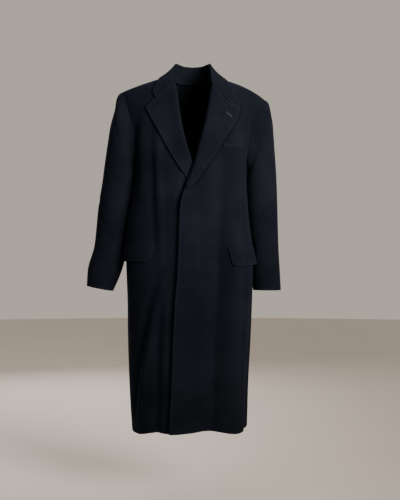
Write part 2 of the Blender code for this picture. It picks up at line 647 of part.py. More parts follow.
def collar_edge(turn):
    """Line along the collar's outer edge."""
    side = np.where(turn >= 0.0, 1.0, -1.0)
    at = np.abs(turn)
    x = NECK_MIDDLE * (1.0 - at) + side * column(COLLAR, "edge_x", at)
    y = column(COLLAR, "edge_y", at)
    settled = smooth_step((at - COLLAR_SETTLE) / (1.0 - COLLAR_SETTLE))
    for way, lapel in LAPELS.items():
        corner_x, corner_z = np.array(lapel.collar_corner)[:, None]
        corner = on_front(corner_x, corner_z, 0.0)[0]
        here = np.where(side == way, settled, 0.0)
        x = x + (corner[0] - way * COLLAR[-1].edge_x) * here
        y = y + (corner[1] - COLLAR[-1].edge_y) * here
    return on_shoulders(x, y, COLLAR_LIFT)


def bent(start, bulge, end, share):
    """Curve from start to end that is drawn towards bulge."""
    share = share[..., None]
    return start * (1 - share) ** 2 + bulge * 2 * share * (1 - share) + end * share ** 2


def collar_fall(across, down):
    """Collar from its fold, down 0, to its outer edge, down 1."""
    turn = across * 2.0 - 1.0
    top, edge = collar_roll(turn), collar_edge(turn)
    puff = column(COLLAR, "puff", np.abs(turn))[..., None]
    away = edge - top
    away[..., 2] = 0.0
    away /= np.linalg.norm(away, axis=-1, keepdims=True)
    bulge = top * (1.0 - COLLAR_BEND) + edge * COLLAR_BEND + away * puff
    bulge[..., 2] += puff[..., 0]
    leaf = bent(top, bulge, edge, down)
    for side, lapel in LAPELS.items():
        near = smooth_step((turn * side - 1.0 + COLLAR_END_BLEND) / COLLAR_END_BLEND)[..., None]
        along = down / NOTCH_SHARE
        past = np.clip((down - NOTCH_SHARE) / (1.0 - NOTCH_SHARE), 0.0, 1.0)
        inner, notch, corner = lapel.gorge, lapel.notch, lapel.collar_corner
        x = np.where(along < 1.0, inner[0] + (notch[0] - inner[0]) * along,
                     notch[0] + (corner[0] - notch[0]) * past)
        z = np.where(along < 1.0, inner[1] + (notch[1] - inner[1]) * along,
                     notch[1] + (corner[1] - notch[1]) * past)
        z = z + SEAM * 2.0
        lift = COLLAR_LIFT + COLLAR_END_ROLL * np.exp(-((down / 0.3) ** 2))
        end = on_front(x, z, lift)
        end_turn = side * np.ones_like(turn)
        end_top, end_edge = collar_roll(end_turn), collar_edge(end_turn)
        plain_end = bent(end_top, (end_top + end_edge) / 2.0, end_edge, down)
        leaf = leaf + (end - plain_end) * near
    return leaf


def neckline(turn):
    """The edge of the neck: back neckline, then the inner edges of the fronts."""
    at = np.abs(turn)
    side = np.where(turn >= 0.0, 1.0, -1.0)
    back_x = NECK_MIDDLE + side * NECK_HALF * np.sin(np.clip(at / NECK_TURN, 0.0, 1.0) * np.pi / 2.0)
    level = FRONT_NECK_DEPTH * np.clip((at - NECK_TURN) / (1.0 - NECK_TURN), 0.0, 1.0)
    front_x = np.where(side > 0.0, column(EDGES, "over", level), column(EDGES, "under", level))
    behind = body_surface(angle_at(back_x, np.zeros_like(at), front=False), np.zeros_like(at))
    before = body_surface(angle_at(front_x, level), level)
    return np.where((at < NECK_TURN)[..., None], behind, before)


def collar_stand(across, down):
    """Band inside the collar, from just under the fold down to the neckline."""
    turn = (across * 2.0 - 1.0) * STAND_END
    top = collar_fall((turn + 1.0) / 2.0, np.zeros_like(down))
    foot = neckline(turn)
    nudge = 0.01
    along = neckline(turn + nudge) - neckline(turn - nudge)
    inward = np.stack([along[..., 1], -along[..., 0], np.zeros_like(turn)], axis=-1)
    inward /= np.linalg.norm(inward, axis=-1, keepdims=True)
    top = top + inward * PLY
    top[..., 2] -= STAND_BELOW_FOLD
    foot = foot + inward * STAND_FOOT_IN
    return top + (foot - top) * down[..., None]


def lapel_piece(side):
    """Turned lapel from its roll line to its free edge, from the break up to the gorge."""
    shape = LAPELS[side]
    outline = LAPEL_EDGE[side]
    name = "over" if side > 0 else "under"

    def place(across, down):
        up = 1.0 - down
        top_z = shape.gorge[1]
        roll_z = -LAPEL_START + (top_z + LAPEL_START) * up
        roll_x = column(EDGES, name, -roll_z)
        roll_x = roll_x + (shape.gorge[0] - column(EDGES, name, -top_z)) * up ** 4
        edge_x = through([row[0] for row in outline], [row[1] for row in outline], up)
        edge_z = through([row[0] for row in outline], [row[2] for row in outline], up)
        width = np.hypot(edge_x - roll_x, edge_z - roll_z)
        notch = LAPEL_NOTCH_SHARE
        past = (across - notch) / (1.0 - notch)
        along = across / notch
        bend_x = roll_x + (edge_x - roll_x) * across
        bend_z = roll_z + (edge_z - roll_z) * across
        gorge_x = np.where(along < 1.0, shape.gorge[0] + (shape.notch[0] - shape.gorge[0]) * along,
                           shape.notch[0] + (shape.corner[0] - shape.notch[0]) * past)
        gorge_z = np.where(along < 1.0, shape.gorge[1] + (shape.notch[1] - shape.gorge[1]) * along,
                           shape.notch[1] + (shape.corner[1] - shape.notch[1]) * past)
        straight_x = shape.gorge[0] + (shape.corner[0] - shape.gorge[0]) * across
        straight_z = shape.gorge[1] + (shape.corner[1] - shape.gorge[1]) * across
        near_top = smooth_step((up - 0.70) / 0.30)
        x = bend_x + (gorge_x - straight_x) * near_top
        z = bend_z + (gorge_z - straight_z) * near_top
        from_roll = across * width
        roll = LAPEL_ROLL * np.exp(-((from_roll - LAPEL_ROLL_MIDDLE) / LAPEL_ROLL_WIDTH) ** 2)
        roll = roll * np.clip(width / LAPEL_FULL_WIDTH, 0.0, 1.0)
        turned = np.exp(-(from_roll / LAPEL_TURN) ** 2)
        x = x - side * LAPEL_PASS * turned
        level = level_at(x, z)
        angle = angle_at(x, level)
        lift = PLY + LAPEL_LIFT + (LAPEL_EDGE_LIFT - LAPEL_LIFT) * across
        if side < 0:
            roll = roll * (1.0 - lapels_cross(level))
            lift = lift + tuck(x, level)
        lift = lift + roll * (1.0 - turned)
        return body_wall(angle, level, lift)
    return place


def flap_piece(side):
    """Hip pocket's flap, sewn on along its top."""
    flap = FLAPS[side]

    def place(across, down):
        inner_seam, inner_free, outer_seam, outer_free = np.array(flap[:4])[:, :, None]
        inner = inner_seam + (inner_free - inner_seam) * down
        outer = outer_seam + (outer_free - outer_seam) * down
        angle, level = inner + (outer - inner) * across
        ends = np.clip(np.abs(across - 0.5) * 2.0, 0.0, 1.0) ** 8
        level = level - FLAP_CORNER * ends * down ** 6
        lift = PLY + FLAP_LIFT + (FLAP_EDGE_LIFT - FLAP_LIFT) * down + flap.kick * across ** 3 * down
        return body_wall(np.radians(angle), level, lift)
    return place


def welt_piece(across, down):
    """Breast pocket's welt."""
    x = WELT_INNER[0] + (WELT_OUTER[0] - WELT_INNER[0]) * across
    z = WELT_INNER[1] + (WELT_OUTER[1] - WELT_INNER[1]) * across - WELT_HEIGHT * down
    return on_front(x, z, PLY + WELT_LIFT)


def cloth_material(name, lighter=1.0):
    """Dark napped wool."""
    material = bpy.data.materials.new(name)
    material.use_nodes = True
    shader = material.node_tree.nodes["Principled BSDF"]
    colour = [channel * lighter for channel in NAP_COLOUR[:3]] + [1.0]
    shader.inputs["Base Color"].default_value = colour
    shader.inputs["Roughness"].default_value = NAP_ROUGHNESS
    shader.inputs["Metallic"].default_value = 0.0
    material.diffuse_color = colour
    return material


def cloth_wall(collection, name, columns, rows, place, material):
    """A piece of cloth: a flat slab of cloth, bent to its place at its real thickness."""
    bm = bmesh.new()
    bmesh.ops.create_grid(bm, x_segments=columns, y_segments=rows, size=0.5)
    bmesh.ops.triangulate(bm, faces=bm.faces[:])
    bmesh.ops.solidify(bm, geom=bm.faces[:], thickness=1.0)
    flat = np.array([vertex.co for vertex in bm.verts])
    across, down = flat[:, 0] + 0.5, 0.5 - flat[:, 1]
    layer = flat[:, 2] - flat[:, 2].mean()
    nudge = 0.002   # in shares of the piece, so that pieces which meet lean the same way
    sideways = place(across + nudge, down) - place(across - nudge, down)
    downwards = place(across, down + nudge) - place(across, down - nudge)
    normal = np.cross(downwards, sideways)
    normal /= np.linalg.norm(normal, axis=-1, keepdims=True)
    points = place(across, down) + normal * (np.sign(layer) * WALL / 2.0)[:, None]
    for vertex, point in zip(bm.verts, points):
        vertex.co = point
    bmesh.ops.triangulate(bm, faces=bm.faces[:])
    bmesh.ops.recalc_face_normals(bm, faces=bm.faces[:])
    mesh = bpy.data.meshes.new(name)
    bm.to_mesh(mesh)
    bm.free()
    mesh.shade_smooth()
    mesh.set_sharp_from_angle(angle=SHARP_ANGLE)
    piece = bpy.data.objects.new(name, mesh)
    collection.objects.link(piece)
    mesh.materials.append(material)
    return piece


def build_body(collection):
    rows = SHOULDER_ROWS + CHEST_ROWS + SKIRT_ROWS
    for side, word in ((+1, "left"), (-1, "right")):
        cloth = cloth_material(f"front wool {word}")
        cloth_wall(collection, f"front_{word}", FRONT_COLUMNS, rows, front_panel(side), cloth)
        cloth = cloth_material(f"back wool {word}")
        cloth_wall(collection, f"back_{word}", BACK_COLUMNS, rows, back_panel(side), cloth)


def build_sleeves(collection):
    for side, word in ((+1, "left"), (-1, "right")):
        top = sleeve_piece(side, BACK_SLEEVE_SEAM - tau, FRONT_SLEEVE_SEAM)
        under = sleeve_piece(side, FRONT_SLEEVE_SEAM, BACK_SLEEVE_SEAM)
        cloth = cloth_material(f"top sleeve wool {word}")
        cloth_wall(collection, f"sleeve_top_{word}", TOP_SLEEVE_COLUMNS, SLEEVE_ROWS, top, cloth)
        cloth = cloth_material(f"under sleeve wool {word}")
        cloth_wall(collection, f"sleeve_under_{word}", UNDER_SLEEVE_COLUMNS, SLEEVE_ROWS, under, cloth)


def build_collar(collection):
    cloth = cloth_material("collar wool", 1.1)
    cloth_wall(collection, "collar_fall", COLLAR_COLUMNS, COLLAR_ROWS, collar_fall, cloth)
    cloth = cloth_material("collar stand wool", 0.9)
    cloth_wall(collection, "collar_stand", COLLAR_COLUMNS, STAND_ROWS, collar_stand, cloth)


def build_lapels(collection):
    for side, word in ((+1, "left"), (-1, "right")):
        cloth = cloth_material(f"lapel wool {word}", 1.1)
        cloth_wall(collection, f"lapel_{word}", LAPEL_COLUMNS, LAPEL_ROWS, lapel_piece(side), cloth)


def build_pockets(collection):
    for side, word in ((+1, "left"), (-1, "right")):
        cloth = cloth_material(f"flap wool {word}")
        cloth_wall(collection, f"pocket_flap_{word}", FLAP_COLUMNS, FLAP_ROWS, flap_piece(side), cloth)
    cloth = cloth_material("welt wool")
    cloth_wall(collection, "breast_pocket_welt", WELT_COLUMNS, WELT_ROWS, welt_piece, cloth)


def main():
    for leftover in list(bpy.data.objects):
        bpy.data.objects.remove(leftover, do_unlink=True)
    collection = bpy.data.collections.new("wool_overcoat")
    bpy.context.scene.collection.children.link(collection)
    build_body(collection)
    build_sleeves(collection)
    build_collar(collection)
    build_lapels(collection)
    build_pockets(collection)


main()
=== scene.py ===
"""Long wool overcoat: napped cloth pieces with their folds, seams and sewing, and a plain studio.

Metres, +Z up, X towards the wearer's left, Y towards the back. The origin is the middle of the
neck at the height where the shoulders begin. A "level" is a distance below the origin, and an
"angle" is measured round the body from the middle of the front, positive to the wearer's left.
"""
from collections import namedtuple
from math import radians, tau

import bmesh
import bpy
import numpy as np
from bpy.props import FloatProperty, FloatVectorProperty, PointerProperty
from mathutils import Matrix, Vector


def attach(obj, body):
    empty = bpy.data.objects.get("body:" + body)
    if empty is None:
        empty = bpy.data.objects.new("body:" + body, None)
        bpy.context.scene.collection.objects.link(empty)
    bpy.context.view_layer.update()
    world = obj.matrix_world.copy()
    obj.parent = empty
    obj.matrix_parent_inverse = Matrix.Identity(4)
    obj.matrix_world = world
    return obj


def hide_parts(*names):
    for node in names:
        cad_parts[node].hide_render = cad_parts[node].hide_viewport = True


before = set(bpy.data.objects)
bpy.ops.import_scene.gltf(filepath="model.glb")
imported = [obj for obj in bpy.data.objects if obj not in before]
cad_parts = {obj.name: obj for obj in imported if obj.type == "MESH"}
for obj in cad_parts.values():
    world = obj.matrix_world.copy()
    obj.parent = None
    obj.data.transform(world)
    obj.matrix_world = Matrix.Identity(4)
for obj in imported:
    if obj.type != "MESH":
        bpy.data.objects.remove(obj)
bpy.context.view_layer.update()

bl_info = {
    "name": "Wool overcoat",
    "version": (1, 0, 0),
    "blender": (4, 5, 0),
    "location": "3D View > Sidebar > Overcoat",
    "description": "Builds a long wool overcoat in its worn shape, with its cloth, sewing and studio",
    "category": "Object",
}


def linear(code):
    """Linear colour of an sRGB hex value."""
    channels = [int(code[i:i + 2], 16) / 255.0 for i in (1, 3, 5)]
    return tuple(c / 12.92 if c <= 0.04045 else ((c + 0.055) / 1.055) ** 2.4 for c in channels)


def named_rows(columns, *rows):
    """Table of rows whose columns have names."""
    row = namedtuple("Row", columns)
    return tuple(row(*values) for values in rows)


# Cloth
WALL = 0.0020           # coating cloth, with its interlining
SEAM = -0.0006          # pieces overlap by this much at a seam, so that no light comes through
PLY = WALL + 0.0006     # from the middle of one layer to the middle of the next

SHORTEST = 1e-12        # guards a division where a piece narrows to nothing
SIDES = ((+1, "left"), (-1, "right"))

# Body
ROUNDNESS = 2.4         # power of the ring's curve, 2 is an ellipse
UNDERARM = 0.315        # level where the armhole is lowest
HEM = 1.165
BODY_RADIUS = 0.17      # turns an angle into a rough distance round the body
SHOULDER_ROUND = 0.11   # height over which the shoulder turns from level to upright
SHOULDER_REACH = 0.98   # largest share of the depth at which the shoulders are looked up
SHOULDER_STEPS = 4      # rounds in which a point on them is found
NECK_HALF = 0.080       # from the middle of the neck to the shoulder seam's inner end
NECK_SCOOP = 0.030      # how far the back neckline dips below the shoulder line
NECK_SCOOP_END = 0.12   # level where that dip has died out
NECK_MIDDLE = 0.004     # the neck stands this far to the wearer's left
SHOULDER_SLOPE = {+1: (0.27, 6.9, 0.0), -1: (0.30, 2.0, 0.004)}  # straight, cubic, raised
ARMHOLE_FRONT = 0.54    # share of the chest's depth that the armhole reaches forward
ARMHOLE_BACK = 0.50
ARMHOLE_TOP = 0.35
ARMHOLE_WIDEST = 0.20   # level where it reaches furthest
ARMHOLE_PULL = (2.0, 8.0)   # range of the power that draws a panel's columns in to the armhole
ARMHOLE_PULL_SHARE = 0.85   # that power, as a share of the panel's width over what is drawn in
ARMHOLE_PULL_LEAST = 0.001  # angle under which nothing more is drawn in

# Distance between the points of a cloth piece, and the fewest faces across and down it
CLOTH_STEP = 0.0042
FINE_STEP = 0.0021      # on the collar, lapels, flaps and welt
FEWEST_COLUMNS = 8
FEWEST_ROWS = 6

# How a body panel's rows are shared out, and how they close up
SHOULDER_ROWS = 6
CHEST_ROWS = 8
SKIRT_ROWS = 14
CHEST_EASE = 0.7
SKIRT_EASE = 0.45
SKIRT_EASE_POWER = 1.6

SECTIONS = named_rows(
    "level right left front back",
    (0.000, 0.2360, 0.2500, 0.085, 0.100),
    (0.080, 0.2260, 0.2350, 0.105, 0.120),
    (0.135, 0.2180, 0.2225, 0.124, 0.131),
    (0.185, 0.2110, 0.2135, 0.138, 0.137),
    (0.240, 0.2030, 0.2020, 0.149, 0.140),
    (0.315, 0.1880, 0.1860, 0.155, 0.138),
    (0.380, 0.1950, 0.1850, 0.156, 0.132),
    (0.430, 0.2030, 0.1870, 0.154, 0.128),
    (0.490, 0.2125, 0.1930, 0.152, 0.129),
    (0.545, 0.2175, 0.2000, 0.153, 0.135),
    (0.610, 0.2170, 0.2035, 0.155, 0.143),
    (0.740, 0.2125, 0.2010, 0.158, 0.152),
    (0.860, 0.2110, 0.1965, 0.160, 0.160),
    (0.990, 0.2070, 0.1895, 0.162, 0.167),
    (1.090, 0.2020, 0.1855, 0.165, 0.172),
    (1.170, 0.1965, 0.1825, 0.168, 0.176),
)

# Where each front ends towards the middle: the roll line down to the break, then the edge
EDGES = named_rows(
    "level under over",
    (0.000, -0.0760, 0.0840),
    (0.018, -0.0640, 0.0750),
    (0.041, -0.0545, 0.0674),
    (0.100, -0.0440, 0.0572),
    (0.170, -0.0317, 0.0436),
    (0.240, -0.0143, 0.0254),
    (0.302, 0.0056, 0.0084),
    (0.345, 0.0216, -0.0078),
    (0.381, 0.0340, -0.0214),
    (0.415, 0.0400, -0.0305),
    (0.480, 0.0420, -0.0358),
    (0.574, 0.0430, -0.0388),
    (0.654, 0.0435, -0.0420),
    (0.733, 0.0440, -0.0484),
    (0.860, 0.0450, -0.0547),
    (1.000, 0.0455, -0.0585),
    (1.170, 0.0460, -0.0650),
)
FRONT_EDGE = {+1: "over", -1: "under"}  # the line of EDGES that a front and its lapel follow
TUCK_RAMP = 0.035       # width over which the under front sinks below the over front
TUCK_TOP = 0.20         # level where it starts to sink, and the height that takes
TUCK_TOP_RAMP = 0.06
TUCK_PLIES = 2.6        # how many layers it sinks, and how many more where the lapels cross
TUCK_CROSSING_PLIES = 2.4
EDGE_ROLL = 0.0160      # how far both fronts stand out at the over front's edge, below the lapels
EDGE_ROLL_TOP = 0.330
EDGE_ROLL_RAMP = 0.10
EDGE_ROLL_OVER = 0.105  # how far that reaches into the over front, and out to the under front's side
EDGE_ROLL_UNDER = 0.040
EDGE_TROUGH = 0.0035    # how far the under front sinks beside that edge
EDGE_TROUGH_AT = 0.0030
EDGE_TROUGH_WIDTH = 0.013
SHOULDER_SEAM_HALF = -0.0004
SHOULDER_SEAM_REACH = 0.003
LAPEL_CROSSING = (0.350, 0.078)   # level and reach of the stretch where the lapels cross

# Soft ridges (depth above zero) and troughs (below zero), each from its top to its bottom
FOLDS = named_rows(
    "top_angle top_level bottom_angle bottom_level width depth",
    # wearer's right front
    (-65, 0.090, -70, 0.420, 0.013, -0.0085),
    (-56, 0.120, -59, 0.430, 0.013, 0.0040),
    (-48, 0.140, -40, 0.610, 0.013, -0.0050),
    (-40, 0.140, -33, 0.640, 0.013, 0.0060),
    (-38, 0.620, -68, 1.130, 0.013, -0.0095),
    (-29, 0.620, -60, 1.130, 0.013, 0.0090),
    (-36, 0.620, -37, 1.165, 0.012, -0.0050),
    (-28, 0.620, -29, 1.165, 0.012, 0.0045),
    # wearer's left front
    (63, 0.100, 66, 0.290, 0.011, 0.0050),
    (71, 0.110, 72, 0.400, 0.011, -0.0060),
    (53, 0.120, 43, 1.150, 0.022, 0.0160),
    (37, 0.150, 24, 1.165, 0.022, -0.0170),
    (72, 0.680, 76, 1.165, 0.016, -0.0050),
    # sides and back
    (-98, 0.420, -104, 1.050, 0.024, -0.0060),
    (96, 0.640, 101, 1.100, 0.024, -0.0060),
    (-128, 0.180, -122, 0.520, 0.016, -0.0060),
    (128, 0.180, 122, 0.510, 0.016, -0.0060),
    (-152, 0.300, -156, 0.640, 0.022, -0.0040),
    (152, 0.310, 156, 0.650, 0.022, -0.0040),
    (-140, 0.640, -134, 1.160, 0.030, -0.0080),
    (140, 0.660, 134, 1.160, 0.030, -0.0080),
    (-165, 0.760, -160, 1.160, 0.030, 0.0060),
    (165, 0.760, 160, 1.160, 0.030, 0.0060),
)
FOLD_OPEN_END = 0.01    # a fold that ends this near the hem runs out through it

# Flutes of the hem: waves that grow from the hips down
FLUTES = named_rows(
    "angle spread depth",
    (-66, 12, -0.004),
    (-22, 9, 0.006),
    (14, 13, -0.010),
    (46, 11, 0.009),
    (74, 10, -0.004),
    (112, 15, 0.008),
    (-112, 15, 0.008),
    (-146, 13, -0.006),
    (146, 13, -0.006),
)
FLUTE_TOP = 0.70

# How far the hem hangs below its level, round the body
HEM_LINE = named_rows(
    "angle drop",
    (-180, -0.004),
    (-120, -0.004),
    (-90, 0.003),
    (-60, 0.006),
    (-33, -0.008),
    (-22, -0.005),
    (0, -0.008),
    (14, -0.013),
    (28, -0.010),
    (46, 0.000),
    (62, 0.001),
    (90, -0.005),
    (120, -0.003),
    (180, -0.004),
)
HEM_LINE_TOP = 0.90     # level below which the hem line shows in the cloth

# Sleeves: outermost and innermost point of each ring seen from the front, and its depth
RING_COLUMNS = "reach outer_x outer_z inner_x inner_z front back middle"
SLEEVE_LEFT = named_rows(
    RING_COLUMNS,
    (0.000, 0.2415, -0.073, 0.1830, -0.3160, 0.072, 0.066, 0.000),
    (0.020, 0.2540, -0.084, 0.1830, -0.3185, 0.073, 0.068, 0.000),
    (0.045, 0.2610, -0.106, 0.1830, -0.3220, 0.075, 0.070, 0.000),
    (0.080, 0.2680, -0.140, 0.1830, -0.3270, 0.077, 0.073, 0.000),
    (0.125, 0.2720, -0.185, 0.1810, -0.3340, 0.078, 0.075, 0.001),
    (0.180, 0.2760, -0.240, 0.1775, -0.3450, 0.077, 0.076, 0.003),
    (0.240, 0.2805, -0.300, 0.1750, -0.3620, 0.075, 0.075, 0.006),
    (0.300, 0.2840, -0.360, 0.1755, -0.3920, 0.072, 0.073, 0.011),
    (0.370, 0.2868, -0.430, 0.1780, -0.4400, 0.069, 0.070, 0.018),
    (0.440, 0.2888, -0.500, 0.1860, -0.5030, 0.066, 0.066, 0.024),
    (0.510, 0.2912, -0.570, 0.1940, -0.5700, 0.062, 0.062, 0.026),
    (0.580, 0.2950, -0.640, 0.1990, -0.6390, 0.058, 0.058, 0.022),
    (0.650, 0.2980, -0.708, 0.2065, -0.7075, 0.055, 0.055, 0.014),
)
SLEEVE_RIGHT = named_rows(
    RING_COLUMNS,
    (0.000, 0.2280, -0.050, 0.1860, -0.3160, 0.072, 0.066, 0.000),
    (0.020, 0.2405, -0.058, 0.1860, -0.3180, 0.073, 0.068, 0.000),
    (0.045, 0.2495, -0.075, 0.1860, -0.3205, 0.075, 0.070, 0.000),
    (0.080, 0.2565, -0.112, 0.1860, -0.3245, 0.077, 0.073, 0.000),
    (0.125, 0.2690, -0.158, 0.1840, -0.3310, 0.078, 0.075, 0.001),
    (0.180, 0.2790, -0.218, 0.1820, -0.3420, 0.077, 0.076, 0.003),
    (0.240, 0.2895, -0.288, 0.1845, -0.3600, 0.075, 0.075, 0.006),
    (0.300, 0.2985, -0.354, 0.1880, -0.3900, 0.072, 0.073, 0.009),
    (0.370, 0.3110, -0.424, 0.1955, -0.4400, 0.069, 0.070, 0.014),
    (0.440, 0.3180, -0.496, 0.2060, -0.5050, 0.066, 0.066, 0.018),
    (0.510, 0.3265, -0.566, 0.2185, -0.5770, 0.062, 0.062, 0.018),
    (0.580, 0.3450, -0.630, 0.2370, -0.6480, 0.058, 0.058, 0.012),
    (0.650, 0.3490, -0.693, 0.2630, -0.7100, 0.055, 0.055, 0.002),
)
SLEEVES = {+1: SLEEVE_LEFT, -1: SLEEVE_RIGHT}
SLEEVE_ROUNDNESS = 2.2
SLEEVE_RADIUS = 0.06    # turns an angle into a rough distance round a sleeve
SLEEVE_END = 0.650
SLEEVE_EASE = 0.55      # how rows close up towards the sleeve head
SLEEVE_EASE_POWER = 1.9
ALLOWANCE_SHARE = 0.012  # share of the sleeve's length that is turned in at the armhole
ALLOWANCE_DEPTH = 0.0030
ALLOWANCE_REACH = 0.0050
ARMHOLE_MEMORY = 0.09   # reach over which a sleeve ring still keeps the armhole's shape
ARMHOLE_GAP = 0.0012    # the sleeve's edge stands this far off the panels at the shoulder
ARMHOLE_GAP_GROWTH = 3.0    # and a third more at the underarm
ARMHOLE_LAYER_TOP = 0.10    # level below which it stands outside the panels as well
BODY_CLEARANCE = 0.0024
CLEARANCE_TOP = 0.300   # level where a sleeve starts to be kept clear of the body
CLEARANCE_RAMP = 0.012
CLEARANCE_SOFT = 0.0020
FLAP_PASS_REACH = 0.05  # height over which a sleeve makes way for the flap behind it
FLAP_PASS_BACK = 0.01   # how far back, and over what depth that dies out
FLAP_PASS_RAMP = 0.03
FRONT_SLEEVE_SEAM = radians(128)
BACK_SLEEVE_SEAM = radians(238)

# Creases of a sleeve: around is an angle from its outer side, positive to the front
CREASE_FADE = 2.0       # how fast a crease dies out along itself
CREASE_COLUMNS = "around reach slant length width depth"
CREASES = {
    +1: named_rows(
        CREASE_COLUMNS,
        (70, 0.36, 0.35, 0.060, 0.012, -0.0020),
        (100, 0.42, 0.25, 0.050, 0.012, -0.0025),
        (-70, 0.38, -0.30, 0.060, 0.010, -0.0040),
        (40, 0.10, 0.90, 0.060, 0.014, -0.0015),
    ),
    -1: named_rows(
        CREASE_COLUMNS,
        (35, 0.37, 0.40, 0.070, 0.012, -0.0022),
        (52, 0.42, 0.75, 0.045, 0.012, -0.0048),
        (80, 0.47, 0.60, 0.045, 0.012, -0.0042),
        (-70, 0.38, -0.30, 0.060, 0.010, -0.0040),
        (45, 0.10, 0.90, 0.060, 0.014, -0.0015),
    ),
}

# Collar: the fold at its top, and the plan of its outer edge, which lies on the shoulders.
# Turn 0 is the middle of the back and 1 a front end.
COLLAR = named_rows(
    "turn roll_x roll_y roll_z edge_x edge_y puff",
    (0.00, 0.000, 0.071, 0.048, 0.000, 0.0870, 0.007),
    (0.20, 0.029, 0.066, 0.050, 0.044, 0.0790, 0.006),
    (0.40, 0.050, 0.044, 0.054, 0.081, 0.0560, 0.002),
    (0.55, 0.058, 0.014, 0.050, 0.101, 0.0200, -0.001),
    (0.70, 0.060, -0.016, 0.027, 0.112, -0.0180, 0.000),
    (0.85, 0.060, -0.044, -0.008, 0.127, -0.0480, 0.003),
    (1.00, 0.060, -0.060, -0.040, 0.142, -0.0700, 0.005),
)
COLLAR_LIFT = 0.0050        # how far its outer edge stands off the shoulders
COLLAR_SETTLE = 0.55        # turn from which its outer edge makes for its corner
COLLAR_END_BLEND = 0.30     # share of each half of the collar that settles into its cut end
COLLAR_BEND = 0.45          # where between fold and edge the leaf bends most
COLLAR_END_ROLL = 0.003     # how far its ends stand off by the fold, and down what share of them
COLLAR_END_ROLL_REACH = 0.3
STAND_END = 0.90        # the stand stops a little before the collar's ends
STAND_STEP = 0.01       # share of the neckline over which its direction is taken
STAND_BELOW_FOLD = 0.0012
STAND_FOOT_IN = 0.0030  # how far inside the neckline it stands, and how far it reaches below
STAND_FOOT_DOWN = 0.0060
NECK_TURN = 0.60        # where the neckline passes the shoulder seam
FRONT_NECK_DEPTH = 0.048
NOTCH_SHARE = 0.76      # how far along the collar's end the notch comes

# Lapels and collar ends seen from the front, as x and height
Lapel = namedtuple("Lapel", "gorge notch collar_corner corner")
LAPELS = {
    +1: Lapel((0.0668, -0.0440), (0.1281, -0.1005), (0.1466, -0.0822), (0.1580, -0.1160)),
    -1: Lapel((-0.0533, -0.0350), (-0.1144, -0.0805), (-0.1264, -0.0570), (-0.1460, -0.1123)),
}
LAPEL_EDGE = {
    +1: named_rows(
        "up x z",
        (0.00, -0.0208, -0.3880), (0.16, 0.0080, -0.3630), (0.34, 0.0400, -0.3200),
        (0.56, 0.0790, -0.2600), (0.78, 0.1180, -0.1980), (0.92, 0.1440, -0.1525),
        (1.00, 0.1580, -0.1160),
    ),
    -1: named_rows(
        "up x z",
        (0.00, 0.0290, -0.3850), (0.16, 0.0010, -0.3610), (0.34, -0.0270, -0.3240),
        (0.56, -0.0640, -0.2650), (0.78, -0.0960, -0.2060), (0.92, -0.1210, -0.1600),
        (1.00, -0.1460, -0.1123),
    ),
}
LAPEL_EDGE_HEIGHTS = [row.z for row in LAPEL_EDGE[+1]]
LAPEL_EDGE_PLACES = [row.x for row in LAPEL_EDGE[+1]]
LAPEL_PRESS = 0.0065    # how far the over lapel's free edge presses the front in, over what width
LAPEL_PRESS_WIDTH = 0.0075
LAPEL_PRESS_RAMP = 0.030
LAPEL_FOOT_INSET = 0.0020   # how far inside the front's edge its lowest point ends
LAPEL_ROLL = 0.0062     # how far the turned cloth stands off near the roll line
LAPEL_ROLL_MIDDLE = 0.009   # and how far from it, over what width
LAPEL_ROLL_WIDTH = 0.030
LAPEL_FULL_WIDTH = 0.03     # a lapel narrower than this rolls less
LAPEL_TURN = 0.0035         # width of the turn itself, which passes the front's edge by this much
LAPEL_PASS = 0.0022
LAPEL_LIFT = 0.0004         # space under it at the roll line, and at the free edge
LAPEL_EDGE_LIFT = {+1: 0.0030, -1: 0.0045}
LAPEL_OPEN_WIDTH = 0.030    # width from which its edge stands off fully
LAPEL_FOOT = 0.090          # share at its lowest point that runs out into the front's cloth
LAPEL_FOOT_SUNK = 0.0006
LAPEL_NOTCH_SHARE = 0.66    # how far across its top edge the notch comes
LAPEL_START = 0.386         # level of its lowest point
LAPEL_TOP_SHARE = 0.30      # share of its height over which its rows turn to the notched top edge
LAPEL_GORGE_POWER = 4       # how late its roll line makes for the gorge

# Pocket flaps as angles and levels: inner and outer end, at the seam and at the free edge
Flap = namedtuple("Flap", "inner_seam inner_free outer_seam outer_free kick")
FLAPS = {
    +1: Flap((40.5, 0.5605), (43.5, 0.6270), (80.0, 0.5580), (81.0, 0.6215), 0.0065),
    -1: Flap((-40.8, 0.5470), (-43.0, 0.6110), (-79.0, 0.5440), (-80.0, 0.6120), 0.0045),
}
FLAP_LIFT = 0.0008      # space under a flap at its seam, and at its free edge
FLAP_EDGE_LIFT = 0.0052
FLAP_CORNER = 0.0060    # how far the free edge rises at its rounded ends
FLAP_END_POWER = 8      # how near its ends, and how near its free edge, that rise begins
FLAP_FOOT_POWER = 6
FLAP_KICK_POWER = 3     # how near its outer end it kicks out

# Breast welt: x and height of its corners
WELT_INNER = (0.1050, -0.2330)
WELT_OUTER = (0.1660, -0.2370)
WELT_HEIGHT = 0.0150
WELT_LIFT = 0.0002


def smooth_step(share):
    """Rise from 0 to 1 with level ends."""
    share = np.clip(share, 0.0, 1.0)
    return share * share * (3.0 - 2.0 * share)


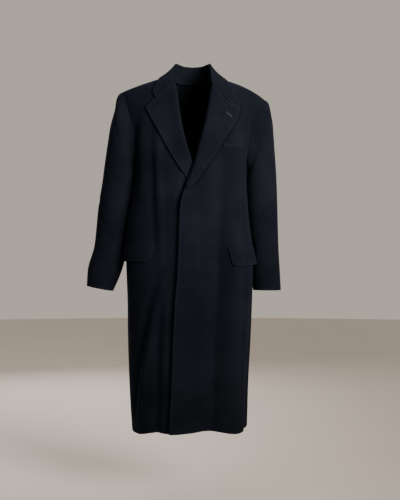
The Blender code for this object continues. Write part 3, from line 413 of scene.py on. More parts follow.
def through(places, values, at):
    """Smooth curve through a table's values, read at the given places."""
    places = np.asarray(places, float)
    values = np.asarray(values, float)
    slopes = np.gradient(values, places)
    at = np.clip(at, places[0], places[-1])
    index = np.clip(np.searchsorted(places, at, side="right") - 1, 0, len(places) - 2)
    span = places[index + 1] - places[index]
    t = (at - places[index]) / span
    start, end = values[index], values[index + 1]
    rise_start, rise_end = slopes[index] * span, slopes[index + 1] * span
    bend = 2.0 * (start - end) + rise_start + rise_end
    return start + t * (rise_start + t * (3.0 * (end - start) - 2.0 * rise_start - rise_end + t * bend))


def column(table, name, at):
    """One named column of a table, read smoothly at the table's first column."""
    return through([row[0] for row in table], [getattr(row, name) for row in table], at)


def between(start, end, share):
    """Value a share of the way from start to end."""
    return start + (end - start) * share


def hump(aside):
    """Smooth hump, 1 in its middle."""
    return np.exp(-aside * aside)


def unit(vectors):
    """The same directions at length 1."""
    return vectors / np.maximum(np.linalg.norm(vectors, axis=-1, keepdims=True), SHORTEST)


def shoulder_height(x):
    """Height of the shoulder line over x."""
    height = np.zeros_like(x)
    for side, (straight, cubic, raised) in SHOULDER_SLOPE.items():
        out = np.abs(x) - NECK_HALF
        fall = straight * out + cubic * out ** 3
        here = raised * np.clip(np.abs(x) / NECK_HALF, 0.0, 1.0) - fall
        height = np.where(x * side >= 0.0, here, height)
    return height


def arch(drop):
    """Share of the full depth that the body has at a drop below the shoulder line."""
    left = 1.0 - np.clip(drop / SHOULDER_ROUND, 0.0, 1.0)
    return np.sqrt(1.0 - left * left)


def half_width(x_sign, level):
    """Half the body's width on the side x lies on."""
    return np.where(x_sign >= 0.0, column(SECTIONS, "left", level), column(SECTIONS, "right", level))


def half_depth(front, level):
    """The body's depth from its middle to the front or the back."""
    return np.where(front, column(SECTIONS, "front", level), column(SECTIONS, "back", level))


def beside(share):
    """Share of a ring's one half size that is left at a share of its other."""
    return (1.0 - share ** ROUNDNESS) ** (1.0 / ROUNDNESS)


def body_surface(angle, level):
    """Points of the middle of the body's cloth, without folds."""
    angle, level = np.broadcast_arrays(np.asarray(angle, float), np.asarray(level, float))
    across, along = np.sin(angle), np.cos(angle)
    back = along < 0.0
    radius = (np.abs(across) / half_width(across, level)) ** ROUNDNESS
    radius = radius + (np.abs(along) / half_depth(~back, level)) ** ROUNDNESS
    radius = radius ** (-1.0 / ROUNDNESS)
    x = radius * across
    share = np.clip(level / UNDERARM, 0.0, 1.0)
    drop = level + shoulder_height(x) * share * (2.0 - share)
    inside_neck = np.clip(1.0 - ((x - NECK_MIDDLE) / NECK_HALF) ** 2, 0.0, 1.0)
    scoop = NECK_SCOOP * inside_neck * (1.0 - smooth_step(level / NECK_SCOOP_END))
    drop = drop + np.where(back, scoop, 0.0)
    z = np.where(level < UNDERARM, shoulder_height(x) - drop, -level)
    y = -radius * along * np.where(level < UNDERARM, arch(drop), 1.0)
    turned = np.degrees((angle + np.pi) % tau - np.pi)
    z = z - column(HEM_LINE, "drop", turned) * smooth_step((level - HEM_LINE_TOP) / (HEM - HEM_LINE_TOP))
    return np.stack([x, y, z], axis=-1)


def folds(angle, level):
    """How far the cloth stands out from the plain body."""
    angle, level = np.broadcast_arrays(np.degrees(angle), np.asarray(level, float))
    total = np.zeros(angle.shape)
    for fold in FOLDS:
        share = (level - fold.top_level) / (fold.bottom_level - fold.top_level)
        middle = fold.top_angle + (fold.bottom_angle - fold.top_angle) * share
        aside = radians(1.0) * (angle - middle) * BODY_RADIUS / fold.width
        length = np.sin(np.clip(share, 0.0, 1.0) * np.pi)
        if fold.bottom_level > HEM - FOLD_OPEN_END:
            length = np.where(share > 0.5, 1.0, length)
        total += fold.depth * length * hump(aside)
    growth = smooth_step((level - FLUTE_TOP) / (HEM - FLUTE_TOP))
    for flute in FLUTES:
        total += flute.depth * growth * hump((angle - flute.angle) / flute.spread)
    return total


def body_wall(angle, level, lift=0.0):
    """Points of the draped body, moved out from it by lift."""
    angle, level = np.broadcast_arrays(np.asarray(angle, float), np.asarray(level, float))
    step_angle, step_level = 0.004, 0.0008
    level_low = np.maximum(level - step_level, 0.0)
    round_body = body_surface(angle + step_angle, level) - body_surface(angle - step_angle, level)
    down_body = body_surface(angle, level + step_level) - body_surface(angle, level_low)
    out = (folds(angle, level) + lift)[..., None]
    return body_surface(angle, level) + unit(np.cross(down_body, round_body)) * out


def angle_at(x, level, front=True):
    """Angle round the body where it has a given x."""
    share = np.clip(np.abs(x) / half_width(x, level), 0.0, 1.0)
    along = half_depth(front, level) * beside(share)
    return np.arctan2(x, along if front else -along)


def level_below(x, drop):
    """Level of the point at x that is a given drop below the shoulder line."""
    line = shoulder_height(x)
    slope = UNDERARM + 2.0 * line
    root = np.sqrt(np.maximum(slope * slope - 4.0 * line * drop, 0.0))
    above = UNDERARM * 2.0 * drop / (slope + root)
    return np.where(line - drop > -UNDERARM, above, drop - line)


def level_at(x, z):
    """Level of the front's point that is seen at x and height z."""
    return level_below(x, shoulder_height(x) - z)


def armhole_angle(side, level, front=True):
    """Angle of the armhole's seam, from the shoulder's tip down to the underarm."""
    reach = ARMHOLE_FRONT if front else ARMHOLE_BACK
    upper = (ARMHOLE_WIDEST - level) / ARMHOLE_WIDEST
    lower = np.clip((level - ARMHOLE_WIDEST) / (UNDERARM - ARMHOLE_WIDEST), 0.0, 1.0)
    share = np.where(level < ARMHOLE_WIDEST, reach - (reach - ARMHOLE_TOP) * upper ** 2,
                     reach * np.sqrt(1.0 - lower ** 2))
    x = half_width(side, level) * beside(share)
    y = share * half_depth(front, level)
    return side * np.arctan2(x, y if front else -y)


def outer_seam(side, level, front):
    """Angle where a panel ends outwards: at the armhole's seam, then at the side seam."""
    angle = np.where(level < UNDERARM, armhole_angle(side, np.minimum(level, UNDERARM), front),
                     side * tau / 4.0)
    overlap = side * SEAM / 2.0 / half_width(side, level)
    return angle - overlap if front else angle + overlap


def spread(side, inner, outer, across):
    """Angles of a panel's columns: even round the body, and drawn in only near the armhole."""
    flank = side * tau / 4.0
    drawn_in = np.maximum(np.abs(flank - outer), ARMHOLE_PULL_LEAST)
    power = np.clip(ARMHOLE_PULL_SHARE * np.abs(flank - inner) / drawn_in, *ARMHOLE_PULL)
    return inner + (flank - inner) * across + (outer - flank) * np.maximum(across, 0.0) ** power


def levels(down):
    """Levels of a body panel's rows, closer together on the shoulder and at the underarm."""
    total = SHOULDER_ROWS + CHEST_ROWS + SKIRT_ROWS
    row = down * total
    shoulder = SHOULDER_ROUND * (1.0 - np.cos(np.clip(row / SHOULDER_ROWS, 0.0, 1.0) * np.pi / 2.0))
    chest_share = np.clip((row - SHOULDER_ROWS) / CHEST_ROWS, 0.0, 1.0)
    eased = CHEST_EASE * np.sin(chest_share * np.pi / 2.0) + (1.0 - CHEST_EASE) * chest_share
    chest = (UNDERARM - SHOULDER_ROUND) * eased
    skirt_share = np.clip((row - SHOULDER_ROWS - CHEST_ROWS) / SKIRT_ROWS, 0.0, 1.0)
    eased = (1.0 - SKIRT_EASE) * skirt_share + SKIRT_EASE * skirt_share ** SKIRT_EASE_POWER
    skirt = (HEM - UNDERARM) * eased
    return shoulder + chest + skirt


def lapels_cross(level):
    """1 where the two lapels lie over each other."""
    middle, reach = LAPEL_CROSSING
    return np.exp(-(((level - middle) / reach) ** 4))


def below_lapels(level):
    """Rises from 0 to 1 where the lapels end."""
    return smooth_step((level - EDGE_ROLL_TOP) / EDGE_ROLL_RAMP)


def edge_roll(x, level):
    """How far the fronts stand out near the over front's edge."""
    from_edge = x - column(EDGES, "over", level)
    reach = np.where(from_edge > 0.0, EDGE_ROLL_OVER, EDGE_ROLL_UNDER)
    return EDGE_ROLL * below_lapels(level) * np.clip(1.0 - np.abs(from_edge) / reach, 0.0, 1.0) ** 2


def tuck(x, level):
    """How far the under front sinks below the plain body, on top of the fronts' roll."""
    edge = column(EDGES, "over", level)
    covered = smooth_step((x - edge + TUCK_RAMP) / TUCK_RAMP)
    below = smooth_step((level - TUCK_TOP) / TUCK_TOP_RAMP)
    sunk = covered * PLY * (TUCK_PLIES * below + TUCK_CROSSING_PLIES * lapels_cross(level))
    return edge_roll(x, level) - sunk


def shoulder_seam(points, level, way):
    """Leave the seam's space on top of the shoulder."""
    points[..., 1] += way * SHOULDER_SEAM_HALF * np.exp(-level / SHOULDER_SEAM_REACH)
    return points


def lapel_press(x, z):
    """How far the over lapel's free edge presses the front's cloth in."""
    aside = (x - np.interp(z, LAPEL_EDGE_HEIGHTS, LAPEL_EDGE_PLACES)) / LAPEL_PRESS_WIDTH
    pressed = LAPEL_PRESS * smooth_step((z - LAPEL_EDGE_HEIGHTS[0]) / LAPEL_PRESS_RAMP)
    pressed = pressed * smooth_step((LAPEL_EDGE_HEIGHTS[-1] - z) / LAPEL_PRESS_RAMP + 1.0)
    return pressed * hump(aside)


def front_panel(side):
    """Front from its roll line and edge to the armhole and side seam."""
    def place(across, down):
        level = levels(down)
        inner = angle_at(column(EDGES, FRONT_EDGE[side], level), level)
        angle = spread(side, inner, outer_seam(side, level, True), across)
        x, _, z = np.moveaxis(body_surface(angle, level), -1, 0)
        if side < 0:
            aside = (x - column(EDGES, "over", level) + EDGE_TROUGH_AT) / EDGE_TROUGH_WIDTH
            lift = tuck(x, level) - EDGE_TROUGH * below_lapels(level) * hump(aside)
        else:
            lift = edge_roll(x, level) - lapel_press(x, z)
        return shoulder_seam(body_wall(angle, level, lift), level, -1.0)
    return place


def back_panel(side):
    """Back from the centre seam to the armhole and side seam."""
    def place(across, down):
        level = levels(down)
        inner = side * (tau / 2.0 - SEAM / 2.0 / column(SECTIONS, "back", level))
        angle = spread(side, inner, outer_seam(side, level, False), across)
        return shoulder_seam(body_wall(angle, level), level, +1.0)
    return place


def sleeve_ring(side, around, reach):
    """Point of a plain sleeve ring, around from its outer side and positive to the front."""
    def size(name):
        return column(SLEEVES[side], name, reach)

    def ellipse(turn):
        return np.sign(turn) * np.abs(turn) ** (2.0 / SLEEVE_ROUNDNESS)

    outward, forward = ellipse(np.cos(around)), ellipse(np.sin(around))
    x = (size("outer_x") + size("inner_x")) / 2.0 + (size("outer_x") - size("inner_x")) / 2.0 * outward
    z = (size("outer_z") + size("inner_z")) / 2.0 + (size("outer_z") - size("inner_z")) / 2.0 * outward
    y = size("middle") - np.where(np.sin(around) >= 0.0, size("front"), size("back")) * forward
    return np.stack([side * x, y, z], axis=-1)


def armhole_ring(side, around, sunk=0.0):
    """The sleeve's own edge along the armhole, or its seam allowance that far inside."""
    level = UNDERARM * (1.0 - np.cos(around)) / 2.0
    front = np.sin(around) >= 0.0
    angle = np.where(front, armhole_angle(side, level), armhole_angle(side, level, False))
    below = smooth_step((level - ARMHOLE_LAYER_TOP) / (UNDERARM - ARMHOLE_LAYER_TOP))
    edge = body_wall(angle, level, PLY * below * (sunk == 0.0) - sunk)
    edge[..., 0] += side * ARMHOLE_GAP * (1.0 + below / ARMHOLE_GAP_GROWTH)
    return edge


def creases(side, around, reach):
    """How far a sleeve's cloth is drawn in at its creases."""
    total = np.zeros(np.broadcast(around, reach).shape)
    turned = np.degrees((around + np.pi) % tau - np.pi)
    for crease in CREASES[side]:
        aside = radians(1.0) * (turned - crease.around) * SLEEVE_RADIUS
        middle = crease.reach + crease.slant * aside
        far = np.exp(-((aside / crease.length) ** 2) * CREASE_FADE)
        total += crease.depth * far * hump((reach - middle) / crease.width)
    return total


def clear_of_body(points, side):
    """Move a sleeve's points outwards to where they just clear the body."""
    x, y, z = np.moveaxis(points, -1, 0)
    level = -z
    share = np.clip(np.abs(y) / half_depth(y <= 0.0, level), 0.0, 1.0)
    body_x = half_width(side, level) * beside(share)
    angle = np.arctan2(side * body_x, -y)
    reach = body_x + folds(angle, level) + BODY_CLEARANCE
    flap = FLAPS[side]
    flap_level = (flap.outer_seam[1] + flap.outer_free[1]) / 2.0
    near_flap = np.exp(-(((level - flap_level) / FLAP_PASS_REACH) ** 4))
    near_flap = near_flap * smooth_step((FLAP_PASS_BACK - y) / FLAP_PASS_RAMP)
    reach = reach + near_flap * (PLY + flap.kick)
    gap = side * x - reach
    pushed = reach + (gap + np.sqrt(gap * gap + CLEARANCE_SOFT ** 2)) / 2.0
    amount = smooth_step((level - CLEARANCE_TOP) / CLEARANCE_RAMP)
    moved = points.copy()
    moved[..., 0] = side * between(side * x, pushed, amount)
    return moved


def sleeve_wall(side, around, reach):
    """Points of the middle of a sleeve's cloth."""
    around, reach = np.broadcast_arrays(np.asarray(around, float), np.asarray(reach, float))

    def plain(turn, far):
        memory = (1.0 - smooth_step(far / ARMHOLE_MEMORY))[..., None]
        start = armhole_ring(side, turn) - sleeve_ring(side, turn, np.zeros_like(far))
        return sleeve_ring(side, turn, far) + start * memory

    small_turn, small_reach = 0.01, 0.001
    turned = plain(around + small_turn, reach) - plain(around - small_turn, reach)
    further = plain(around, reach + small_reach) - plain(around, np.maximum(reach - small_reach, 0.0))
    normal = unit(side * np.cross(turned, further))
    return clear_of_body(plain(around, reach) + normal * creases(side, around, reach)[..., None], side)


def sleeve_reaches(down):
    """Reach of a sleeve's rows, closer together at the sleeve head."""
    down = np.maximum(down, 0.0)
    return SLEEVE_END * ((1.0 - SLEEVE_EASE) * down + SLEEVE_EASE * down ** SLEEVE_EASE_POWER)


def sleeve_piece(side, start, end):
    """Sleeve cloth between two of its long seams."""
    def place(across, down):
        gap = SEAM / SLEEVE_RADIUS
        around = start + gap / 2.0 + (end - start - gap) * across
        wall = sleeve_wall(side, around, sleeve_reaches(down))
        turned_in = (1.0 - smooth_step(down / ALLOWANCE_SHARE))[..., None]
        allowance = armhole_ring(side, around, ALLOWANCE_DEPTH)
        allowance[..., 0] -= side * ALLOWANCE_REACH
        return between(wall, allowance, turned_in)
    return place


def on_front(x, z, lift):
    """Point on the front that is seen at x and height z, moved out by lift."""
    level = level_at(x, z)
    return body_wall(angle_at(x, level), level, lift)


def on_shoulders(x, y, lift):
    """Point of the shoulders over x and y, moved out by lift."""
    drop = np.zeros_like(x)
    for _ in range(SHOULDER_STEPS):
        level = level_below(x, drop)
        side_share = np.clip(np.abs(x) / half_width(x, level), 0.0, 1.0)
        depth = half_depth(y < 0.0, level) * beside(side_share)
        share = np.clip(np.abs(y) / depth, 0.0, SHOULDER_REACH)
        drop = SHOULDER_ROUND * (1.0 - np.sqrt(1.0 - share * share))
    upright = 1.0 - drop / SHOULDER_ROUND
    outward = np.sign(y) * np.sqrt(1.0 - upright * upright)
    z = shoulder_height(x) - drop + upright * lift
    return np.stack([x, y + outward * lift, z], axis=-1)


def along_notch(start, notch, end, notch_share, share):
    """x and height along two straight legs that meet at a notch."""
    first = share / notch_share
    second = (share - notch_share) / (1.0 - notch_share)
    return [np.where(first < 1.0, between(start[k], notch[k], first), between(notch[k], end[k], second))
            for k in (0, 1)]


def collar_roll(turn):
    """Line along the collar's fold."""
    side = np.where(turn >= 0.0, 1.0, -1.0)
    at = np.abs(turn)
    x = NECK_MIDDLE + side * column(COLLAR, "roll_x", at)
    return np.stack([x, column(COLLAR, "roll_y", at), column(COLLAR, "roll_z", at)], axis=-1)


def collar_edge(turn):
    """Line along the collar's outer edge."""
    side = np.where(turn >= 0.0, 1.0, -1.0)
    at = np.abs(turn)
    x = NECK_MIDDLE * (1.0 - at) + side * column(COLLAR, "edge_x", at)
    y = column(COLLAR, "edge_y", at)
    settled = smooth_step((at - COLLAR_SETTLE) / (1.0 - COLLAR_SETTLE))
    for way, lapel in LAPELS.items():
        corner_x, corner_z = np.array(lapel.collar_corner)[:, None]
        corner = on_front(corner_x, corner_z, 0.0)[0]
        here = np.where(side == way, settled, 0.0)
        x = x + (corner[0] - way * COLLAR[-1].edge_x) * here
        y = y + (corner[1] - COLLAR[-1].edge_y) * here
    return on_shoulders(x, y, COLLAR_LIFT)


def bent(start, bulge, end, share):
    """Curve from start to end that is drawn towards bulge."""
    share = share[..., None]
    return start * (1 - share) ** 2 + bulge * 2 * share * (1 - share) + end * share ** 2


def collar_fall(across, down):
    """Collar from its fold, down 0, to its outer edge, down 1."""
    turn = across * 2.0 - 1.0
    top, edge = collar_roll(turn), collar_edge(turn)
    puff = column(COLLAR, "puff", np.abs(turn))[..., None]
    bulge = top * (1.0 - COLLAR_BEND) + edge * COLLAR_BEND + unit((edge - top) * (1.0, 1.0, 0.0)) * puff
    bulge[..., 2] += puff[..., 0]
    leaf = bent(top, bulge, edge, down)
    for side, lapel in LAPELS.items():
        near = smooth_step((turn * side - 1.0 + COLLAR_END_BLEND) / COLLAR_END_BLEND)[..., None]
        share = np.minimum(down, 1.0)
        x, z = along_notch(lapel.gorge, lapel.notch, lapel.collar_corner, NOTCH_SHARE, share)
        lift = COLLAR_LIFT + COLLAR_END_ROLL * hump(down / COLLAR_END_ROLL_REACH)
        end = on_front(x, z + SEAM * 2.0, lift)
        end_turn = side * np.ones_like(turn)
        end_top, end_edge = collar_roll(end_turn), collar_edge(end_turn)
        leaf = leaf + (end - bent(end_top, (end_top + end_edge) / 2.0, end_edge, down)) * near
    return leaf


def neckline(turn):
    """The edge of the neck: back neckline, then the inner edges of the fronts."""
    at = np.abs(turn)
    side = np.where(turn >= 0.0, 1.0, -1.0)
    back_x = NECK_MIDDLE + side * NECK_HALF * np.sin(np.clip(at / NECK_TURN, 0.0, 1.0) * np.pi / 2.0)
    level = FRONT_NECK_DEPTH * np.clip((at - NECK_TURN) / (1.0 - NECK_TURN), 0.0, 1.0)
    front_x = np.where(side > 0.0, column(EDGES, "over", level), column(EDGES, "under", level))
    behind = body_surface(angle_at(back_x, np.zeros_like(at), front=False), np.zeros_like(at))
    before = body_surface(angle_at(front_x, level), level)
    return np.where((at < NECK_TURN)[..., None], behind, before)


def collar_stand(across, down):
    """Band inside the collar, from just under the fold down to the neckline."""
    turn = (across * 2.0 - 1.0) * STAND_END
    along = neckline(turn + STAND_STEP) - neckline(turn - STAND_STEP)
    inward = unit(np.stack([along[..., 1], -along[..., 0], np.zeros_like(turn)], axis=-1))
    top = collar_fall((turn + 1.0) / 2.0, np.zeros_like(down)) + inward * PLY
    top[..., 2] -= STAND_BELOW_FOLD
    foot = neckline(turn) + inward * STAND_FOOT_IN
    foot[..., 2] -= STAND_FOOT_DOWN
    return between(top, foot, down[..., None])


def lapel_piece(side):
    """Turned lapel from its roll line to its free edge, from the break up to the gorge."""
    shape, outline = LAPELS[side], LAPEL_EDGE[side]
    edge_name = FRONT_EDGE[side]

    def place(across, down):
        up = 1.0 - down
        roll_z = -LAPEL_START + (shape.gorge[1] + LAPEL_START) * up
        to_gorge = shape.gorge[0] - column(EDGES, edge_name, -shape.gorge[1])
        roll_x = column(EDGES, edge_name, -roll_z) + to_gorge * up ** LAPEL_GORGE_POWER
        edge_x, edge_z = column(outline, "x", up), column(outline, "z", up)
        width = np.hypot(edge_x - roll_x, edge_z - roll_z)
        top_x, top_z = along_notch(shape.gorge, shape.notch, shape.corner, LAPEL_NOTCH_SHARE, across)
        near_top = smooth_step((up - 1.0 + LAPEL_TOP_SHARE) / LAPEL_TOP_SHARE)
        notched_x = top_x - between(shape.gorge[0], shape.corner[0], across)
        notched_z = top_z - between(shape.gorge[1], shape.corner[1], across)
        x = between(roll_x, edge_x, across) + notched_x * near_top
        z = between(roll_z, edge_z, across) + notched_z * near_top
        from_roll = across * width
        turned = hump(from_roll / LAPEL_TURN)
        foot = smooth_step(up / LAPEL_FOOT)
        x = x - side * (LAPEL_PASS * foot * turned - LAPEL_FOOT_INSET * (1.0 - foot))
        level = level_at(x, z)
        opened = smooth_step(width / LAPEL_OPEN_WIDTH)
        lift = PLY + LAPEL_LIFT + (LAPEL_EDGE_LIFT[side] - LAPEL_LIFT) * across ** 2 * opened
        lift = lift - (PLY + LAPEL_FOOT_SUNK) * (1.0 - foot)
        roll = LAPEL_ROLL * hump((from_roll - LAPEL_ROLL_MIDDLE) / LAPEL_ROLL_WIDTH)
        roll = roll * np.clip(width / LAPEL_FULL_WIDTH, 0.0, 1.0)
        if side < 0:
            roll = roll * (1.0 - lapels_cross(level))
            lift = lift + tuck(x, level)
        else:
            lift = lift + edge_roll(x, level)
        return body_wall(angle_at(x, level), level, lift + roll * (1.0 - turned))
    return place


def flap_piece(side):
    """Hip pocket's flap, sewn on along its top."""
    flap = FLAPS[side]

    def place(across, down):
        sewn_in, free_in, sewn_out, free_out = np.array(flap[:4])[:, :, None]
        angle, level = between(between(sewn_in, free_in, down), between(sewn_out, free_out, down), across)
        ends = np.clip(np.abs(across - 0.5) * 2.0, 0.0, 1.0) ** FLAP_END_POWER
        level = level - FLAP_CORNER * ends * down ** FLAP_FOOT_POWER
        lift = PLY + between(FLAP_LIFT, FLAP_EDGE_LIFT, down) + flap.kick * across ** FLAP_KICK_POWER * down
        return body_wall(np.radians(angle), level, lift)
    return place


def welt_piece(across, down):
    """Breast pocket's welt."""
    x, z = [between(WELT_INNER[k], WELT_OUTER[k], across) for k in (0, 1)]
    return on_front(x, z - WELT_HEIGHT * down, PLY + WELT_LIFT)


# Nap: tufts of fibre about 2 mm across and single fibres about 0.6 mm, drawn coarser than real so
# that they show
NAP_TUFTS = 420.0
NAP_FIBRES = 1400.0
NAP_CLOUDS = 9.0        # slow changes of shade, about 110 mm across
NAP_LAY = 0.45          # its scale down the cloth, over that across, so that its marks are long
NAP_HEIGHT = 0.0006
TUFT_DARK = 0.66        # shades of the tufts, over the cloth's colour, and what the palest gains
TUFT_PALE = (1.60, 0.0006)
CLOUD_DARK = (0.76, 0.79, 0.81)
CLOUD_PALE = (1.24, 1.21, 1.18)
EDGE_WEAR_AND_HIGHLIGHT_PALE = 1.9          # cut edges painted paler: partly the wear of the pressed nap, partly a painted highlight of lit edges; how far in it shows and how strongly
RIM_WIDTH = 0.0035
RIM_STRENGTH = 0.55

# Thread: its twist, drawn about 0.5 mm long so that it shows, and its shades
THREAD_TWIST = 1800.0
THREAD_DARK = 0.75
THREAD_PALE = 1.2

# Each piece's material slot, its flat cut as it shows, without seam allowances, and what it is sewn
# to and hangs from
Piece = namedtuple("Piece", "slot width length area hangs_from")
PIECES = {
    "front_left": Piece("front wool left", 0.370, 1.150, 0.341, ("back_left", "collar_stand")),
    "front_right": Piece("front wool right", 0.380, 1.150, 0.352, ("back_right", "collar_stand")),
    "back_left": Piece("back wool left", 0.330, 1.170, 0.315, ("back_right", "collar_stand")),
    "back_right": Piece("back wool right", 0.340, 1.170, 0.325, ("back_left", "collar_stand")),
    "sleeve_top_left": Piece("top sleeve wool left", 0.275, 0.640, 0.144, ("front_left", "back_left")),
    "sleeve_top_right": Piece("top sleeve wool right", 0.290, 0.655, 0.153, ("front_right", "back_right")),
    "sleeve_under_left": Piece("under sleeve wool left", 0.125, 0.460, 0.049,
                               ("sleeve_top_left", "back_left")),
    "sleeve_under_right": Piece("under sleeve wool right", 0.130, 0.460, 0.051,
                                ("sleeve_top_right", "back_right")),
    "collar_fall": Piece("collar wool", 0.520, 0.090, 0.035, ("collar_stand", "front_left")),
    "collar_stand": Piece("collar stand wool", 0.390, 0.052, 0.016, ("back_left", "back_right")),
    "lapel_left": Piece("lapel wool left", 0.105, 0.350, 0.022, ("front_left",)),
    "lapel_right": Piece("lapel wool right", 0.105, 0.350, 0.023, ("front_right",)),
    "pocket_flap_left": Piece("flap wool left", 0.160, 0.064, 0.009, ("front_left",)),
    "pocket_flap_right": Piece("flap wool right", 0.160, 0.064, 0.009, ("front_right",)),
    "breast_pocket_welt": Piece("welt wool", 0.076, 0.0155, 0.0011, ("front_left",)),
}
EDGE_ROUNDING = 0.42    # radius of a cut edge, as a share of the cloth's thickness
CLOTH_NUDGE = 0.002     # share of a piece over which its lean is taken, alike where pieces meet

# Sewing
STITCH_GAP = 0.0012
STITCH_WIDTH = 0.0009
STITCH_SUNK = 0.15      # share of its width by which a stitch sinks into the cloth
EDGE_STITCH = 0.6       # an edge stitch's length and width, over those of the fly's
EDGE_STITCH_WIDTH = 0.8
EDGE_INSET = 0.0060     # how far in from an edge its stitches run
EDGE_POINTS = 240       # points along a row of edge stitches, and along the fly's
FLY_POINTS = 160
FLY_LINE = ((0.0255, -0.3850), (0.0240, -0.5000), (0.0225, -0.6300), (0.0190, -0.6600),
            (0.0090, -0.6790), (-0.0080, -0.6870), (-0.0385, -0.6900))
LAPEL_FOOT_WIDTH = 0.25     # width of a lapel's foot, as a share of its widest place
LAPEL_INSET_MOST = 0.30     # largest share of its width that its stitches stay away from its edge
COLLAR_INSET = 1.3      # the collar's stitches run further in, by this much
LAPEL_ROW = (0.02, 0.90)    # where each row of edge stitches starts down its piece, and its length
FLAP_ROW = (0.03, 0.94)
FRONT_ROW = (0.52, 0.475)
FRONT_NUDGE = 0.004     # angle and level over which the front's lean is taken
BUTTONHOLE = ((0.1115, -0.1300), (0.1285, -0.1452))
BUTTONHOLE_HALF = 0.0006
BUTTONHOLE_SHARE = 0.86     # how far across the lapel it lies
PURLS = 15              # on each side
PURL_HALF_SIZES = (0.0011, 0.0009, 0.0006)

# Studio
FLOOR_RADIUS = 9.0
FLOOR_CLOUDS = 2.2      # slow changes of shade, about 0.45 m across, and the darker of its shades
FLOOR_DARK = 0.97
WORLD_STRENGTH = 0.66
CAMERA_LENS = 73.29     # mm on a 36 mm frame: 1.67 m tall at 3.4 m
CAMERA_PLACE = (0.028, -3.4, -0.574)
Lamp = namedtuple("Lamp", "name place aim width height power spread colour")
LAMPS = (
    Lamp("key softbox", (1.45, -2.00, 0.16), (0.0, 0.0, -0.06), 1.4, 1.4, 49.0, 61.0, "#fff8f0"),
    Lamp("fill softbox", (-2.3, -2.5, 0.2), (0.0, 0.0, -0.4), 2.0, 2.2, 28.0, 180.0, "#c8f0ff"),
    Lamp("back softbox", (-1.2, 2.9, 0.5), (0.0, 0.0, -0.6), 1.8, 1.8, 45.0, 180.0, "#ffffff"),
)


class OvercoatSettings(bpy.types.PropertyGroup):
    """Colours and sewing sizes of the overcoat."""

    wool: FloatVectorProperty(name="Wool", description="Colour of the coat's cloth", subtype="COLOR",
                              default=linear("#080a0f"), min=0.0, max=1.0)
    nap: FloatProperty(name="Nap", description="Strength of the nap's pale bloom", subtype="FACTOR",
                       default=0.04, min=0.0, max=1.0)
    sewing: FloatVectorProperty(name="Sewing thread", description="Colour of the edge and fly stitches",
                                subtype="COLOR", default=linear("#0c0f15"), min=0.0, max=1.0)
    purl: FloatVectorProperty(name="Buttonhole thread", description="Colour of the lapel buttonhole",
                              subtype="COLOR", default=linear("#25252a"), min=0.0, max=1.0)
    stitch: FloatProperty(name="Stitch length", description="Length of one stitch", unit="LENGTH",
                          default=0.0034, min=0.001, max=0.02, precision=4)
    floor: FloatVectorProperty(name="Floor", description="Colour of the studio's floor", subtype="COLOR",
                               default=linear("#d9cfc6"), min=0.0, max=1.0)
    floor_level: FloatProperty(name="Floor below the neck", description="Height from the floor to the neck",
                               unit="LENGTH", default=1.40, min=1.2, max=3.0)


def settings():
    return bpy.context.scene.overcoat


def node(tree, kind, settings=(), links=(), **sockets):
    """Add a shader node: settings on the node, links as (socket, from socket), values by socket."""
    made = tree.nodes.new(kind)
    for name, value in dict(settings).items():
        setattr(made, name, value)
    for name, value in sockets.items():
        made.inputs[name.replace("_", " ")].default_value = value
    for name, source in dict(links).items():
        tree.links.new(source, made.inputs[name])
    return made


def ramp_stops(ramp, stops):
    """Give a colour ramp node its stops, as (position, colour)."""
    elements = ramp.color_ramp.elements
    while len(elements) > len(stops):
        elements.remove(elements[-1])
    while len(elements) < len(stops):
        elements.new(1.0)
    for element, (position, colour) in zip(elements, stops):
        element.position = position
        element.color = (*colour, 1.0)


def toned(colour, by, plus=0.0):
    """A colour made darker or paler."""
    return tuple(channel * by + plus for channel in colour)


def surface_material(name, **values):
    """New material, its node tree and its surface shader with the given values."""
    material = bpy.data.materials.new(name)
    material.use_nodes = True
    shader = material.node_tree.nodes["Principled BSDF"]
    for socket, value in values.items():
        shader.inputs[socket.replace("_", " ")].default_value = value
    return material, material.node_tree, shader


